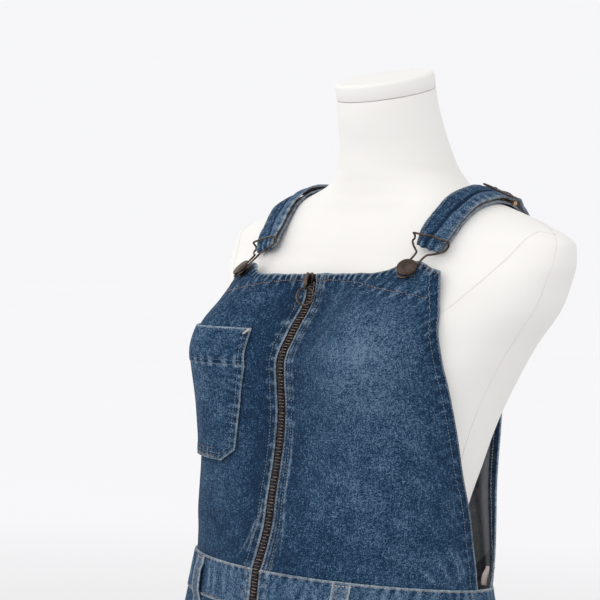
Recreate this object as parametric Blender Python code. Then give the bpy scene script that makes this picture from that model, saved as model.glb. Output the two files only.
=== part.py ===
"""Denim shortalls on a limbless dress form with a short stand.

Metres, +Z up. The front faces -Y and the wearer's left is +X. The origin is the centre of the base
plate's underside. Heights in the tables are measured from the waist seam, up positive.
"""

import math

import bmesh
import bpy
import numpy as np
from mathutils import Matrix, Vector
from mathutils.bvhtree import BVHTree

# Driving sizes
WAIST_Z = 0.510
SEAM = 0.0003
CLOTH = 0.0016
FRONT, BACK = -1, 1
RIGHT, LEFT = -1, 1

# Bib
ZIP_HALF = 0.0058
BIB_TOP = 0.2755
BIB_PEAK = 0.0115
BIB_PEAK_ARC, BIB_PEAK_SPREAD = 0.104, 0.022
BIB_LEAN = 0.0045
BIB_ROWS, BIB_COLUMNS = 20, 12
BACK_TOP = 0.250
BUST_X, BUST_SPREAD = 0.094, 0.050
BACK_DROP, DROP_ABOVE, DROP_BELOW = 0.020, 0.120, 0.275
DROP_FRONT_Y, DROP_DEPTH = -0.118, 0.240

# Waistband, shorts and belt loops
BAND_HEIGHT = 0.038
BAND_OUT, BAND_IN = 0.0010, 0.0018
ZIP_END = -0.139
CROTCH_START, CROTCH, HEM = -0.190, -0.275, -0.370
LEG_GAP_AT_HEM = 0.010
HEM_HEIGHT, HEM_OUT, HEM_STEP = 0.022, 0.0009, 0.0008
LEG_ROW, LEG_ROW_GAP, ZIP_STEP = -0.325, 0.004, 0.0005
SHORTS_COLUMNS = 12
LOOP_WIDTH, LOOP_CLOTH = 0.015, 0.0016

# Zip
TAPE_HALF, TAPE_FRONT, TAPE_BACK = 0.014, 0.0023, 0.0031
CHAIN_HALF, CHAIN_OUT = 0.0039, 0.0012
ZIP_TOP = 0.2735
SLIDER_Z, SLIDER_HALF, SLIDER_HEIGHT = 0.2715, 0.0051, 0.0110
SLIDER_BACK_Y, SLIDER_PLATE, SLIDER_FLANGE = -0.0620, 0.0017, 0.0036
SLIDER_GAP = 0.0003
BRIDGE_Y, BRIDGE_RADIUS = -0.0660, 0.0008
BRIDGE_EAR_IN, BRIDGE_EAR_OUT, BRIDGE_EAR_HALF, BRIDGE_EAR_FRONT = 0.0024, 0.0035, 0.0018, 0.0014
CUT_PAST = 0.002
TAB_HALF, TAB_EYE_BORE, TAB_EYE_OUTER, TAB_CUT = 0.0019, 0.0012, 0.0021, 0.0040
RING_EYE_HALF, RING_EYE_BORE = 0.0009, 0.00145
RING_EYE_Y, RING_EYE_Z = -0.0672, 0.2622
RING_RADIUS, RING_WIRE = 0.0086, 0.0009
RING_LEAN, RING_TURN = math.radians(14), math.radians(22)

# Straps and their hardware
STRAP_WIDTH, STRAP_CLOTH = 0.032, 0.0022
STRAP_ON_FORM, STRAP_LAYERS_APART = 0.0027, 0.0052
STRAP_STEPS = 38
HOOK_REACH, HOOK_FOLD = 0.09, 0.0054
SLIDE_AT, UNDER_END = 0.47, 0.56
SLIDE_END, SLIDE_FADE = 0.60, 0.10
HOOK_BAR_HEIGHT, HOOK_WIRE = 0.0072, 0.0010
HOOK_BAR_TURN, HOOK_BAR_FADE = math.radians(18), 0.30
HOOK_BAR_LEAN = 0.0050
HOOK_EYE = 0.0052
HOOK_OVER_CLOTH = 0.0034
HOOK_NECK = (0.0046, 0.0080)
SLIDE_HALF, SLIDE_REACH, SLIDE_WIRE, SLIDE_CORNER = 0.0185, 0.0055, 0.0010, 0.0018
KNOB, KNOB_FROM, KNOB_LENGTH = 0.0024, 0.0016, 0.0024
BUTTON_ARC, BUTTON_Z, BUTTON_LEAN = 0.1025, 0.2770, 0.0040
BUTTON_WASHER = 0.0072

# Form and stand
NECK_TILT, NECK_Y = math.radians(16), 0.036
NECK_TILT_FROM, NECK_TOP = 0.385, 0.455
CAP_RADIUS, CAP_HEIGHT, CAP_ROUND = 0.0492, 0.0165, 0.0035
FORM_COLUMNS = 40
CHEST_FROM, CHEST_TO = -0.050, 0.280
POLE_X, POLE_RADIUS = 0.052, 0.0125
FLANGE_RADIUS, FLANGE_HEIGHT = 0.035, 0.006
BASE_RADIUS, BASE_HEIGHT, BASE_ROUND = 0.150, 0.010, 0.003

# Right half of the hook's wire from its bar: across, down from the bar
HOOK_ARM = (
    (0.0146, 0.0000),
    (0.0167, 0.0009),
    (0.0176, 0.0030),
    (0.0176, 0.0060),
    (0.0141, 0.0105),
    (0.0088, 0.0150),
    (0.0052, 0.0190),
)
# Overall button, washer to head: radius, height over its seat
BUTTON_PROFILE = (
    (0.0000, 0.0004),
    (0.0072, 0.0004),
    (0.0072, 0.0012),
    (0.0028, 0.0018),
    (0.0028, 0.0052),
    (0.0091, 0.0052),
    (0.0097, 0.0058),
    (0.0097, 0.0066),
    (0.0085, 0.0074),
    (0.0067, 0.0072),
    (0.0057, 0.0076),
    (0.0000, 0.0079),
)
# Front bib sections: height, half width, depth, squareness, bust
FRONT_SECTIONS = (
    (0.0000, 0.1600, 0.1180, 2.0, 0.000),
    (0.0180, 0.1580, 0.1110, 2.2, 0.000),
    (0.0400, 0.1560, 0.1045, 2.5, 0.001),
    (0.0625, 0.1550, 0.1020, 2.6, 0.002),
    (0.0985, 0.1530, 0.0960, 2.8, 0.008),
    (0.1400, 0.1515, 0.0925, 3.1, 0.017),
    (0.1900, 0.1490, 0.0970, 3.2, 0.028),
    (0.2200, 0.1455, 0.0820, 3.2, 0.036),
    (0.2500, 0.1400, 0.0615, 2.6, 0.030),
    (0.2850, 0.1465, 0.0575, 2.0, -0.009),
    (0.2960, 0.1475, 0.0550, 2.0, -0.020),
)
# Back bib sections: height, half width, depth, squareness, bust
BACK_SECTIONS = (
    (0.000, 0.160, 0.122, 2.0, 0.0),
    (0.060, 0.152, 0.121, 2.5, 0.0),
    (0.140, 0.152, 0.130, 2.7, 0.0),
    (0.200, 0.168, 0.149, 2.7, 0.0),
    (0.260, 0.184, 0.158, 2.6, 0.0),
)
# Half width of the flat front bib: height, arc
FRONT_EDGE = (
    (0.0000, 0.2300),
    (0.0625, 0.2158),
    (0.0985, 0.2045),
    (0.1400, 0.1990),
    (0.1900, 0.1960),
    (0.2120, 0.1890),
    (0.2455, 0.1640),
    (0.2700, 0.1400),
    (0.2850, 0.1310),
)
# Half width of the flat back bib: height, arc
BACK_EDGE = (
    (0.000, 0.176),
    (0.030, 0.143),
    (0.060, 0.124),
    (0.140, 0.106),
    (0.200, 0.088),
    (0.250, 0.056),
)
# Waistband and shorts: height, half width, front depth, back depth
LOWER_SECTIONS = (
    (-0.370, 0.206, 0.113, 0.120),
    (-0.275, 0.199, 0.118, 0.126),
    (-0.190, 0.193, 0.123, 0.132),
    (-0.100, 0.183, 0.124, 0.131),
    (-0.040, 0.170, 0.121, 0.126),
    (0.000, 0.160, 0.118, 0.122),
)
# Chest pocket: height, inner arc, outer arc, thickness added by its hem
POCKET_ROWS = (
    (0.0925, 0.073, 0.133, 0.0),
    (0.1040, 0.056, 0.150, 0.0),
    (0.1190, 0.0548, 0.1508, 0.0),
    (0.1340, 0.0537, 0.1516, 0.0),
    (0.1490, 0.0512, 0.1525, 0.0),
    (0.1640, 0.0500, 0.1533, 0.0),
    (0.1790, 0.0488, 0.1542, 0.0),
    (0.1845, 0.0483, 0.1545, 0.0),
    (0.1855, 0.0482, 0.1546, 0.0008),
    (0.1970, 0.0476, 0.1552, 0.0008),
    (0.2090, 0.0472, 0.1560, 0.0008),
    (0.2210, 0.0470, 0.1567, 0.0008),
)
POCKET_COLUMNS, POCKET_OUT, POCKET_CLOTH = 11, 0.0007, 0.0014
# Belt loop: height, how far its inner side stands off the surface
LOOP_ROWS = (
    (-0.0490, 0.0005),
    (-0.0425, 0.0005),
    (-0.0392, 0.0015),
    (-0.0340, 0.0032),
    (-0.0240, 0.0036),
    (-0.0140, 0.0034),
    (-0.0080, 0.0015),
    (-0.0010, 0.0014),
)
# Belt loops: name, facing, x
BELT_LOOPS = (
    ("belt_loop_front_right", FRONT, -0.090),
    ("belt_loop_front_left", FRONT, 0.090),
    ("belt_loop_side_right", BACK, -0.112),
    ("belt_loop_side_left", BACK, 0.112),
    ("belt_loop_back", BACK, 0.0),
)
# Dress form: height, half width, middle y, front y, back y, squareness, bust
FORM_SECTIONS = (
    (-0.185, 0.150, 0.006, -0.094, 0.116, 2.20, 0.000),
    (-0.150, 0.158, 0.006, -0.101, 0.119, 2.20, 0.000),
    (-0.100, 0.154, 0.005, -0.103, 0.116, 2.20, 0.000),
    (-0.050, 0.140, 0.003, -0.097, 0.104, 2.15, 0.000),
    (0.000, 0.126, 0.002, -0.091, 0.096, 2.10, 0.000),
    (0.030, 0.124, 0.002, -0.088, 0.096, 2.10, 0.000),
    (0.058, 0.126, 0.004, -0.085, 0.100, 2.15, 0.002),
    (0.100, 0.134, 0.009, -0.081, 0.109, 2.30, 0.006),
    (0.140, 0.142, 0.016, -0.078, 0.119, 2.40, 0.012),
    (0.190, 0.157, 0.027, -0.075, 0.137, 2.50, 0.020),
    (0.220, 0.171, 0.036, -0.054, 0.145, 2.50, 0.022),
    (0.250, 0.191, 0.044, -0.038, 0.149, 2.50, 0.014),
    (0.280, 0.202, 0.052, -0.027, 0.150, 2.40, 0.004),
    (0.295, 0.208, 0.056, -0.018, 0.147, 2.20, 0.000),
    (0.312, 0.209, 0.059, -0.010, 0.141, 2.05, 0.000),
    (0.324, 0.193, 0.061, -0.005, 0.137, 1.95, 0.000),
    (0.332, 0.173, 0.062, -0.002, 0.134, 1.90, 0.000),
    (0.339, 0.155, 0.063, 0.000, 0.132, 1.85, 0.000),
    (0.347, 0.131, 0.064, 0.001, 0.130, 1.80, 0.000),
    (0.355, 0.107, 0.065, 0.002, 0.129, 1.80, 0.000),
    (0.364, 0.082, 0.066, 0.002, 0.129, 1.90, 0.000),
    (0.375, 0.065, 0.0655, 0.001, 0.129, 2.00, 0.000),
    (0.389, 0.0585, 0.059, 0.000, 0.117, 2.00, 0.000),
    (0.404, 0.0545, 0.053, -0.002, 0.107, 2.00, 0.000),
    (0.420, 0.0515, 0.0465, -0.006, 0.098, 2.00, 0.000),
    (0.436, 0.0495, 0.0410, -0.0095, 0.0905, 2.00, 0.000),
    (0.455, 0.0480, 0.0360, -0.0120, 0.0840, 2.00, 0.000),
)
# Route of the left strap over the form, from the hook to the back bib: x, y, height
STRAP_ROUTE = (
    (0.1035, -0.0120, 0.3060),
    (0.1060, 0.0020, 0.3230),
    (0.1085, 0.0166, 0.3370),
    (0.1100, 0.0380, 0.3500),
    (0.1110, 0.0625, 0.3570),
    (0.1085, 0.0880, 0.3500),
    (0.1000, 0.1120, 0.3280),
    (0.0850, 0.1320, 0.2980),
    (0.0700, 0.1450, 0.2680),
    (0.0590, 0.1500, 0.2400),
    (0.0520, 0.1480, 0.2150),
)
STRAP_LEAVES_FORM, STRAP_ON_BACK_FROM = 0.62, 0.86


def clear_scene():
    for item in list(bpy.data.objects):
        bpy.data.objects.remove(item, do_unlink=True)


def material(name, color, roughness, metallic=0.0):
    made = bpy.data.materials.new(name)
    made.use_nodes = True
    shader = made.node_tree.nodes["Principled BSDF"]
    shader.inputs["Base Color"].default_value = (*color, 1.0)
    shader.inputs["Roughness"].default_value = roughness
    shader.inputs["Metallic"].default_value = metallic
    return made


def smooth_row(table, at):
    """A table's row at any key: cubic through the rows, with slopes kept from overshooting."""
    rows = np.array(table, float)
    keys = rows[:, 0]
    values = rows[:, 1:]
    at = min(max(at, keys[0]), keys[-1])
    index = min(max(int(np.searchsorted(keys, at)) - 1, 0), len(keys) - 2)
    steps = np.diff(values, axis=0) / np.diff(keys)[:, None]
    slopes = np.gradient(values, keys, axis=0)
    limit = 3 * np.minimum(np.abs(steps[:-1]), np.abs(steps[1:]))
    limit[steps[:-1] * steps[1:] <= 0] = 0
    slopes[1:-1] = np.clip(slopes[1:-1], -limit, limit)
    span = keys[index + 1] - keys[index]
    t = (at - keys[index]) / span
    return (
        (2 * t**3 - 3 * t**2 + 1) * values[index]
        + (t**3 - 2 * t**2 + t) * span * slopes[index]
        + (-2 * t**3 + 3 * t**2) * values[index + 1]
        + (t**3 - t**2) * span * slopes[index + 1]
    )


def back_drop(y, height):
    """How far the garment sags toward the back of the waist."""
    reach = min(max((y - DROP_FRONT_Y) / DROP_DEPTH, 0.0), 1.0)
    fade = 1 - height / DROP_ABOVE if height > 0 else 1 + height / DROP_BELOW
    return BACK_DROP * reach**1.5 * min(max(fade, 0.0), 1.0)


def world(x, y, height):
    return Vector((x, y, WAIST_Z + height - back_drop(y, height)))


SECTION_CACHE = {}


def bib_section(facing, height):
    """Half a level section, centre line to past the side: arc lengths, points and outward normals."""
    key = (facing, round(height, 6))
    if key not in SECTION_CACHE:
        table = FRONT_SECTIONS if facing == FRONT else BACK_SECTIONS
        half_width, depth, power, bust = smooth_row(table, height)
        angle = np.radians(np.linspace(0, 115, 400))
        across = half_width * np.sin(angle) ** (2 / power)
        cosine = np.cos(angle)
        ahead = depth * np.sign(cosine) * np.abs(cosine) ** (2 / power)
        swell = np.exp(-(((across - BUST_X) / BUST_SPREAD) ** 2))
        ahead = ahead + bust * swell * np.sqrt(np.clip(cosine, 0, 1))
        arc = np.concatenate([[0], np.cumsum(np.hypot(np.diff(across), np.diff(ahead)))])
        run = np.gradient(across, arc)
        rise = np.gradient(ahead, arc)
        length = np.hypot(run, rise)
        SECTION_CACHE[key] = (arc, across, ahead, -rise / length, run / length)
    return SECTION_CACHE[key]


def bib_at(facing, arc, height, out=0.0):
    """Point of the bib's outer surface at a signed arc from the centre line, moved out."""
    side = -1 if arc < 0 else 1
    arcs, across, ahead, normal_x, normal_ahead = bib_section(facing, height)
    reach = abs(arc)
    x = np.interp(reach, arcs, across) + out * np.interp(reach, arcs, normal_x)
    y = np.interp(reach, arcs, ahead) + out * np.interp(reach, arcs, normal_ahead)
    return world(side * x, facing * y, height)


def inner_edge(facing, height):
    """X of a lower panel's centre edge: zip opening, then closed seam, then the gap between legs."""
    if facing == FRONT and height > ZIP_END:
        return ZIP_HALF
    if height > CROTCH:
        return SEAM / 2
    return SEAM / 2 + LEG_GAP_AT_HEM * (CROTCH - height) / (CROTCH - HEM)


def lower_at(facing, side, part, height, out=0.0):
    """Point of the waistband or shorts surface: part 0 is the centre edge, 1 the side seam."""
    half_width, front, back = smooth_row(LOWER_SECTIONS, height)
    depth = front if facing == FRONT else back
    centre_x = inner_edge(facing, height)
    leg = min(max((CROTCH_START - height) / (CROTCH_START - CROTCH), 0.0), 1.0)
    radius = (half_width - centre_x) / (1 + leg)
    middle = centre_x + leg * radius
    start = math.acos(leg)
    angle = start + part * (math.pi - start)
    normal = Vector((-depth * math.cos(angle), radius * math.sin(angle))).normalized()
    x = middle - radius * math.cos(angle) + out * normal.x
    y = SEAM / 2 + depth * math.sin(angle) + out * normal.y
    return world(side * x, facing * y, height)


def lower_part(facing, x, height):
    """The part value at which the surface above the crotch has this x."""
    half_width = smooth_row(LOWER_SECTIONS, height)[0]
    centre_x = inner_edge(facing, height)
    cosine = (abs(x) - centre_x) / (half_width - centre_x)
    return math.asin(min(max(cosine, 0.0), 1.0)) / (math.pi / 2)


def finish(name, bm, look, smooth=True):
    bmesh.ops.recalc_face_normals(bm, faces=bm.faces)
    mesh = bpy.data.meshes.new(name)
    bm.to_mesh(mesh)
    bm.free()
    if smooth:
        mesh.shade_smooth()
        mesh.set_sharp_from_angle(angle=math.radians(40))
    mesh.materials.append(look)
    made = bpy.data.objects.new(name, mesh)
    bpy.context.scene.collection.objects.link(made)
    return made


def wall(name, rows, look):
    """A sheet of cloth: rows of (outer, inner) point pairs made one closed body."""
    bm = bmesh.new()
    outer = [[bm.verts.new(pair[0]) for pair in row] for row in rows]
    inner = [[bm.verts.new(pair[1]) for pair in row] for row in rows]
    last_row = len(rows) - 1
    last = len(rows[0]) - 1
    for r in range(last_row):
        for c in range(last):
            bm.faces.new((outer[r][c], outer[r][c + 1], outer[r + 1][c + 1], outer[r + 1][c]))
            bm.faces.new((inner[r][c], inner[r + 1][c], inner[r + 1][c + 1], inner[r][c + 1]))
    for r in range(last_row):
        for c in (0, last):
            bm.faces.new((outer[r][c], outer[r + 1][c], inner[r + 1][c], inner[r][c]))
    for c in range(last):
        for r in (0, last_row):
            bm.faces.new((outer[r][c], inner[r][c], inner[r][c + 1], outer[r][c + 1]))
    return finish(name, bm, look)


def sweep(name, rings, look, closed=False):
    """Rings of points of one count joined into a body, capped at the ends or closed round."""
    bm = bmesh.new()
    loops = [[bm.verts.new(point) for point in ring] for ring in rings]
    count = len(loops[0])
    pairs = list(zip(loops, loops[1:]))
    if closed:
        pairs.append((loops[-1], loops[0]))
    for near, far in pairs:
        for c in range(count):
            following = (c + 1) % count
            bm.faces.new((near[c], near[following], far[following], far[c]))
    if not closed:
        bm.faces.new(loops[0])
        bm.faces.new(loops[-1])
    return finish(name, bm, look)


def turned(name, profile, look, steps=32, place=None):
    """A body turned about Z from (radius, height) points that start and end on the axis."""
    bm = bmesh.new()
    verts = [bm.verts.new((radius, 0, height)) for radius, height in profile]
    edges = [bm.edges.new(pair) for pair in zip(verts, verts[1:])]
    bmesh.ops.spin(
        bm,
        geom=verts + edges,
        axis=(0, 0, 1),
        cent=(0, 0, 0),
        angle=math.tau,
        steps=steps,
        use_merge=True,
    )
    bmesh.ops.remove_doubles(bm, verts=bm.verts, dist=1e-6)
    if place is not None:
        bm.transform(place)
    return finish(name, bm, look)


def tube_rings(points, radius, sides, closed=False):
    """Rings round a wire's centre line, turned as little as possible from one to the next."""
    rings = []
    count = len(points)
    across = None
    for i, point in enumerate(points):
        ahead = points[(i + 1) % count] if closed or i < count - 1 else point
        behind = points[i - 1] if closed or i > 0 else point
        along = (ahead - behind).normalized()
        if across is None:
            across = along.orthogonal().normalized()
        across = (across - along * across.dot(along)).normalized()
        up = along.cross(across)
        turn = [math.tau * (k + 0.5) / sides for k in range(sides)]
        rings.append([point + radius * (math.cos(a) * across + math.sin(a) * up) for a in turn])
    return rings


def spread(first, last, count):
    return [first + (last - first) * i / (count - 1) for i in range(count)]


def bib_top(arc):
    peak = BIB_PEAK * math.exp(-(((abs(arc) - BIB_PEAK_ARC) / BIB_PEAK_SPREAD) ** 2))
    return BIB_TOP + peak + BIB_LEAN * arc / BIB_PEAK_ARC


def make_bib_front(side, look):
    name = "bib_front_right" if side == RIGHT else "bib_front_left"
    top_half = smooth_row(FRONT_EDGE, FRONT_EDGE[-1][0])[0]
    rows = []
    for v in spread(0, 1, BIB_ROWS):
        row = []
        for u in spread(0, 1, BIB_COLUMNS):
            top = bib_top(side * (ZIP_HALF + u * (top_half - ZIP_HALF)))
            height = SEAM / 2 + v * (top - SEAM / 2)
            half = smooth_row(FRONT_EDGE, height)[0]
            arc = side * (ZIP_HALF + u * (half - ZIP_HALF))
            row.append((bib_at(FRONT, arc, height), bib_at(FRONT, arc, height, -CLOTH)))
        rows.append(row)
    return wall(name, rows, look)


def make_bib_back(look):
    rows = []
    for height in spread(SEAM / 2, BACK_TOP, 15):
        half = smooth_row(BACK_EDGE, height)[0]
        arcs = spread(-half, half, 17)
        rows.append([(bib_at(BACK, a, height), bib_at(BACK, a, height, -CLOTH)) for a in arcs])
    return wall("bib_back", rows, look)


def make_pocket(look):
    rows = []
    for height, inner_arc, outer_arc, hem in POCKET_ROWS:
        row = []
        for u in spread(0, 1, POCKET_COLUMNS):
            arc = RIGHT * (inner_arc + u * (outer_arc - inner_arc))
            top = bib_at(FRONT, arc, height, POCKET_OUT + POCKET_CLOTH + hem)
            row.append((top, bib_at(FRONT, arc, height, POCKET_OUT)))
        rows.append(row)
    return wall("bib_pocket", rows, look)


def make_waistband_front(side, look):
    name = "waistband_front_right" if side == RIGHT else "waistband_front_left"
    rows = []
    for height in spread(-BAND_HEIGHT, -SEAM / 2, 4):
        row = []
        for part in spread(0, 1, 13):
            outer = lower_at(FRONT, side, part, height, BAND_OUT)
            row.append((outer, lower_at(FRONT, side, part, height, -BAND_IN)))
        rows.append(row)
    return wall(name, rows, look)


def make_waistband_back(look):
    rows = []
    for height in spread(-BAND_HEIGHT, -SEAM / 2, 4):
        row = []
        for part in spread(-1, 1, 25):
            side = -1 if part < 0 else 1
            shift = 0 if part else -SEAM / 2
            outer = lower_at(BACK, side, abs(part), height, BAND_OUT)
            inner = lower_at(BACK, side, abs(part), height, -BAND_IN)
            row.append((outer + Vector((shift, 0, 0)), inner + Vector((shift, 0, 0))))
        rows.append(row)
    return wall("waistband_back", rows, look)


def shorts_heights():
    """Row heights: even above and below, and set by angle where the crotch seam curves."""
    heights = spread(HEM, HEM + HEM_HEIGHT, 3) + [HEM + HEM_HEIGHT + HEM_STEP]
    heights += spread(LEG_ROW, CROTCH - LEG_ROW_GAP, 3)
    depth = CROTCH_START - CROTCH
    heights += [CROTCH_START - depth * math.sin(math.radians(a)) for a in range(90, -1, -18)]
    heights += [(CROTCH_START + ZIP_END) / 2, ZIP_END - ZIP_STEP, ZIP_END + ZIP_STEP]
    heights += spread(ZIP_END, -BAND_HEIGHT - SEAM, 5)[1:-1]
    return heights + [-BAND_HEIGHT - SEAM]


def make_shorts_panel(facing, side, look):
    tag = "right" if side == RIGHT else "left"
    name = ("shorts_front_" if facing == FRONT else "shorts_back_") + tag
    rows = []
    for height in shorts_heights():
        hem = HEM_OUT if height < HEM + HEM_HEIGHT + HEM_STEP / 2 else 0.0
        row = []
        for part in spread(0, 1, SHORTS_COLUMNS):
            outer = lower_at(facing, side, part, height, hem)
            row.append((outer, lower_at(facing, side, part, height, -CLOTH)))
        rows.append(row)
    return wall(name, rows, look)


def make_belt_loop(name, facing, x, look):
    rows = []
    for height, off in LOOP_ROWS:
        row = []
        for place_x in spread(x - LOOP_WIDTH / 2, x + LOOP_WIDTH / 2, 4):
            side = -1 if place_x < 0 else 1
            part = lower_part(facing, place_x, height)
            outer = lower_at(facing, side, part, height, off + LOOP_CLOTH)
            row.append((outer, lower_at(facing, side, part, height, off)))
        rows.append(row)
    return wall(name, rows, look)


def zip_line_at(x, height, out):
    """Point near the centre front, on the bib above the waist seam and the shorts below it."""
    if height >= 0:
        return bib_at(FRONT, x, height, out)
    half_width, front = smooth_row(LOWER_SECTIONS, height)[:2]
    y = front * math.sqrt(1 - (x / half_width) ** 2) + out
    return world(x, -y, height)


def make_zip_chain(look):
    """The tape behind the panels and the chain of teeth between their edges, as one strip."""
    outline = (
        (-TAPE_HALF, -TAPE_FRONT),
        (-CHAIN_HALF, -TAPE_FRONT),
        (-CHAIN_HALF, CHAIN_OUT),
        (CHAIN_HALF, CHAIN_OUT),
        (CHAIN_HALF, -TAPE_FRONT),
        (TAPE_HALF, -TAPE_FRONT),
        (TAPE_HALF, -TAPE_BACK),
        (CHAIN_HALF, -TAPE_BACK),
        (-CHAIN_HALF, -TAPE_BACK),
        (-TAPE_HALF, -TAPE_BACK),
    )
    heights = spread(ZIP_END + 0.002, -0.003, 9)
    heights += [min(SEAM / 2 + v * (BIB_TOP - SEAM / 2), ZIP_TOP) for v in spread(0, 1, BIB_ROWS)]
    rings = [[zip_line_at(x, height, out) for x, out in outline] for height in heights]
    return sweep("zip_chain", rings, look)


def box_at(name, low, high, look):
    bm = bmesh.new()
    bmesh.ops.create_cube(bm, size=1)
    size = Vector(high) - Vector(low)
    middle = (Vector(high) + Vector(low)) / 2
    bm.transform(Matrix.Translation(middle) @ Matrix.Diagonal((*size, 1)))
    return finish(name, bm, look, smooth=False)


def rod_along_x(name, y, z, radius, reach, look, sides=20):
    bm = bmesh.new()
    bmesh.ops.create_cone(
        bm,
        cap_ends=True,
        segments=sides,
        radius1=radius,
        radius2=radius,
        depth=2 * reach,
        matrix=Matrix.Translation((0, y, z)) @ Matrix.Rotation(math.pi / 2, 4, "Y"),
    )
    return finish(name, bm, look)


def combine(body, tools, operation):
    """Boolean the tools into the body, then remove them."""
    for tool in tools:
        step = body.modifiers.new("cut", "BOOLEAN")
        step.operation = operation
        step.object = tool
        bpy.context.view_layer.update()
        evaluated = body.evaluated_get(bpy.context.evaluated_depsgraph_get())
        mesh = bpy.data.meshes.new_from_object(evaluated)
        body.modifiers.remove(step)
        body.data = mesh
        bpy.data.objects.remove(tool, do_unlink=True)
    return body


def make_zip_slider(look):
    """A plate over the chain, a flange down each side of it, and a bridge for the pull tab."""
    front_y = SLIDER_BACK_Y - SLIDER_PLATE
    low = WAIST_Z + SLIDER_Z - SLIDER_HEIGHT / 2
    high = low + SLIDER_HEIGHT
    flange_in = CHAIN_HALF + SLIDER_GAP
    flange_back = SLIDER_BACK_Y + SLIDER_FLANGE
    body = box_at("zip_slider", (-SLIDER_HALF, front_y, low), (SLIDER_HALF, flange_back, high), look)
    past = (flange_in, flange_back + CUT_PAST, high + CUT_PAST)
    channel = box_at("channel", (-flange_in, SLIDER_BACK_Y, low - CUT_PAST), past, look)
    combine(body, [channel], "DIFFERENCE")
    bridge_z = WAIST_Z + SLIDER_Z
    ears = []
    for side in (-1, 1):
        ends = sorted((side * BRIDGE_EAR_IN, side * BRIDGE_EAR_OUT))
        corner = (ends[0], BRIDGE_Y - BRIDGE_EAR_FRONT, bridge_z - BRIDGE_EAR_HALF)
        opposite = (ends[1], front_y + SLIDER_PLATE / 3, bridge_z + BRIDGE_EAR_HALF)
        ears.append(box_at("ear", corner, opposite, look))
    reach = (BRIDGE_EAR_IN + BRIDGE_EAR_OUT) / 2
    bar = rod_along_x("bar", BRIDGE_Y, bridge_z, BRIDGE_RADIUS, reach, look)
    return combine(body, ears + [bar], "UNION")


def make_zip_pull_tab(look):
    """A flat link with an eye round the slider's bridge and a thinner eye for the ring."""
    top_y, top_z = BRIDGE_Y, WAIST_Z + SLIDER_Z
    low_y, low_z = RING_EYE_Y, WAIST_Z + RING_EYE_Z
    slant = math.atan2(low_y - top_y, top_z - low_z)
    bm = bmesh.new()
    outline = []
    for centre_y, centre_z, first in ((top_y, top_z, slant), (low_y, low_z, slant + math.pi)):
        for step in range(11):
            angle = -first + math.pi * step / 10
            y = centre_y + TAB_EYE_OUTER * math.cos(angle)
            outline.append((y, centre_z + TAB_EYE_OUTER * math.sin(angle)))
    front = [bm.verts.new((-TAB_HALF, y, z)) for y, z in outline]
    face = bm.faces.new(front)
    pushed = bmesh.ops.extrude_face_region(bm, geom=[face])["geom"]
    verts = [item for item in pushed if isinstance(item, bmesh.types.BMVert)]
    bmesh.ops.translate(bm, vec=(2 * TAB_HALF, 0, 0), verts=verts)
    body = finish("zip_pull_tab", bm, look)
    cutters = [
        rod_along_x("bore", top_y, top_z, TAB_EYE_BORE, TAB_CUT, look, 24),
        rod_along_x("bore", low_y, low_z, RING_EYE_BORE, TAB_CUT, look, 24),
    ]
    for side in (-1, 1):
        ends = sorted((side * RING_EYE_HALF, side * TAB_CUT))
        corner = (ends[0], low_y - TAB_CUT, low_z - TAB_CUT)
        opposite = (ends[1], low_y + TAB_CUT, low_z + TAB_EYE_OUTER + SLIDER_GAP)
        cutters.append(box_at("thin", corner, opposite, look))
    return combine(body, cutters, "DIFFERENCE")


def ring_axes():
    """Across and down directions of the ring's plane."""
    across = Vector((math.cos(RING_TURN), math.sin(RING_TURN), 0))
    facing = Vector((math.sin(RING_TURN), -math.cos(RING_TURN), 0))
    down = Vector((0, 0, -math.cos(RING_LEAN))) + facing * math.sin(RING_LEAN)
    return across, down


def make_zip_ring(look):
    across, down = ring_axes()
    centre = Vector((0, RING_EYE_Y, WAIST_Z + RING_EYE_Z)) + down * RING_RADIUS
    turns = [math.tau * i / 30 for i in range(30)]
    points = [centre + RING_RADIUS * (math.sin(a) * across - math.cos(a) * down) for a in turns]
    return sweep("zip_ring", tube_rings(points, RING_WIRE, 7, closed=True), look, closed=True)


def form_point(angle, height):
    half_width, middle, front_y, back_y, power, bust = smooth_row(FORM_SECTIONS, height)
    sine, cosine = math.sin(angle), math.cos(angle)
    x = half_width * math.copysign(abs(sine) ** (2 / power), sine)
    ahead = abs(cosine) ** (2 / power)
    if cosine > 0:
        swell = bust * math.exp(-(((abs(x) - BUST_X) / BUST_SPREAD) ** 2)) * math.sqrt(cosine)
        y = middle - (middle - front_y) * ahead - swell
    else:
        y = middle + (back_y - middle) * ahead
    lift = min(max((height - NECK_TILT_FROM) / (NECK_TOP - NECK_TILT_FROM), 0.0), 1.0)
    rise = math.tan(NECK_TILT) * (y - NECK_Y) * lift
    return Vector((x, y, WAIST_Z + height + rise))


def make_form(look):
    heights = [row[0] for row in FORM_SECTIONS]
    spans = zip(heights, heights[1:])
    heights += [(low + high) / 2 for low, high in spans if CHEST_FROM <= low < CHEST_TO]
    heights = sorted(heights)
    turns = [math.tau * i / FORM_COLUMNS for i in range(FORM_COLUMNS)]
    return sweep("form_torso", [[form_point(a, height) for a in turns] for height in heights], look)


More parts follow.
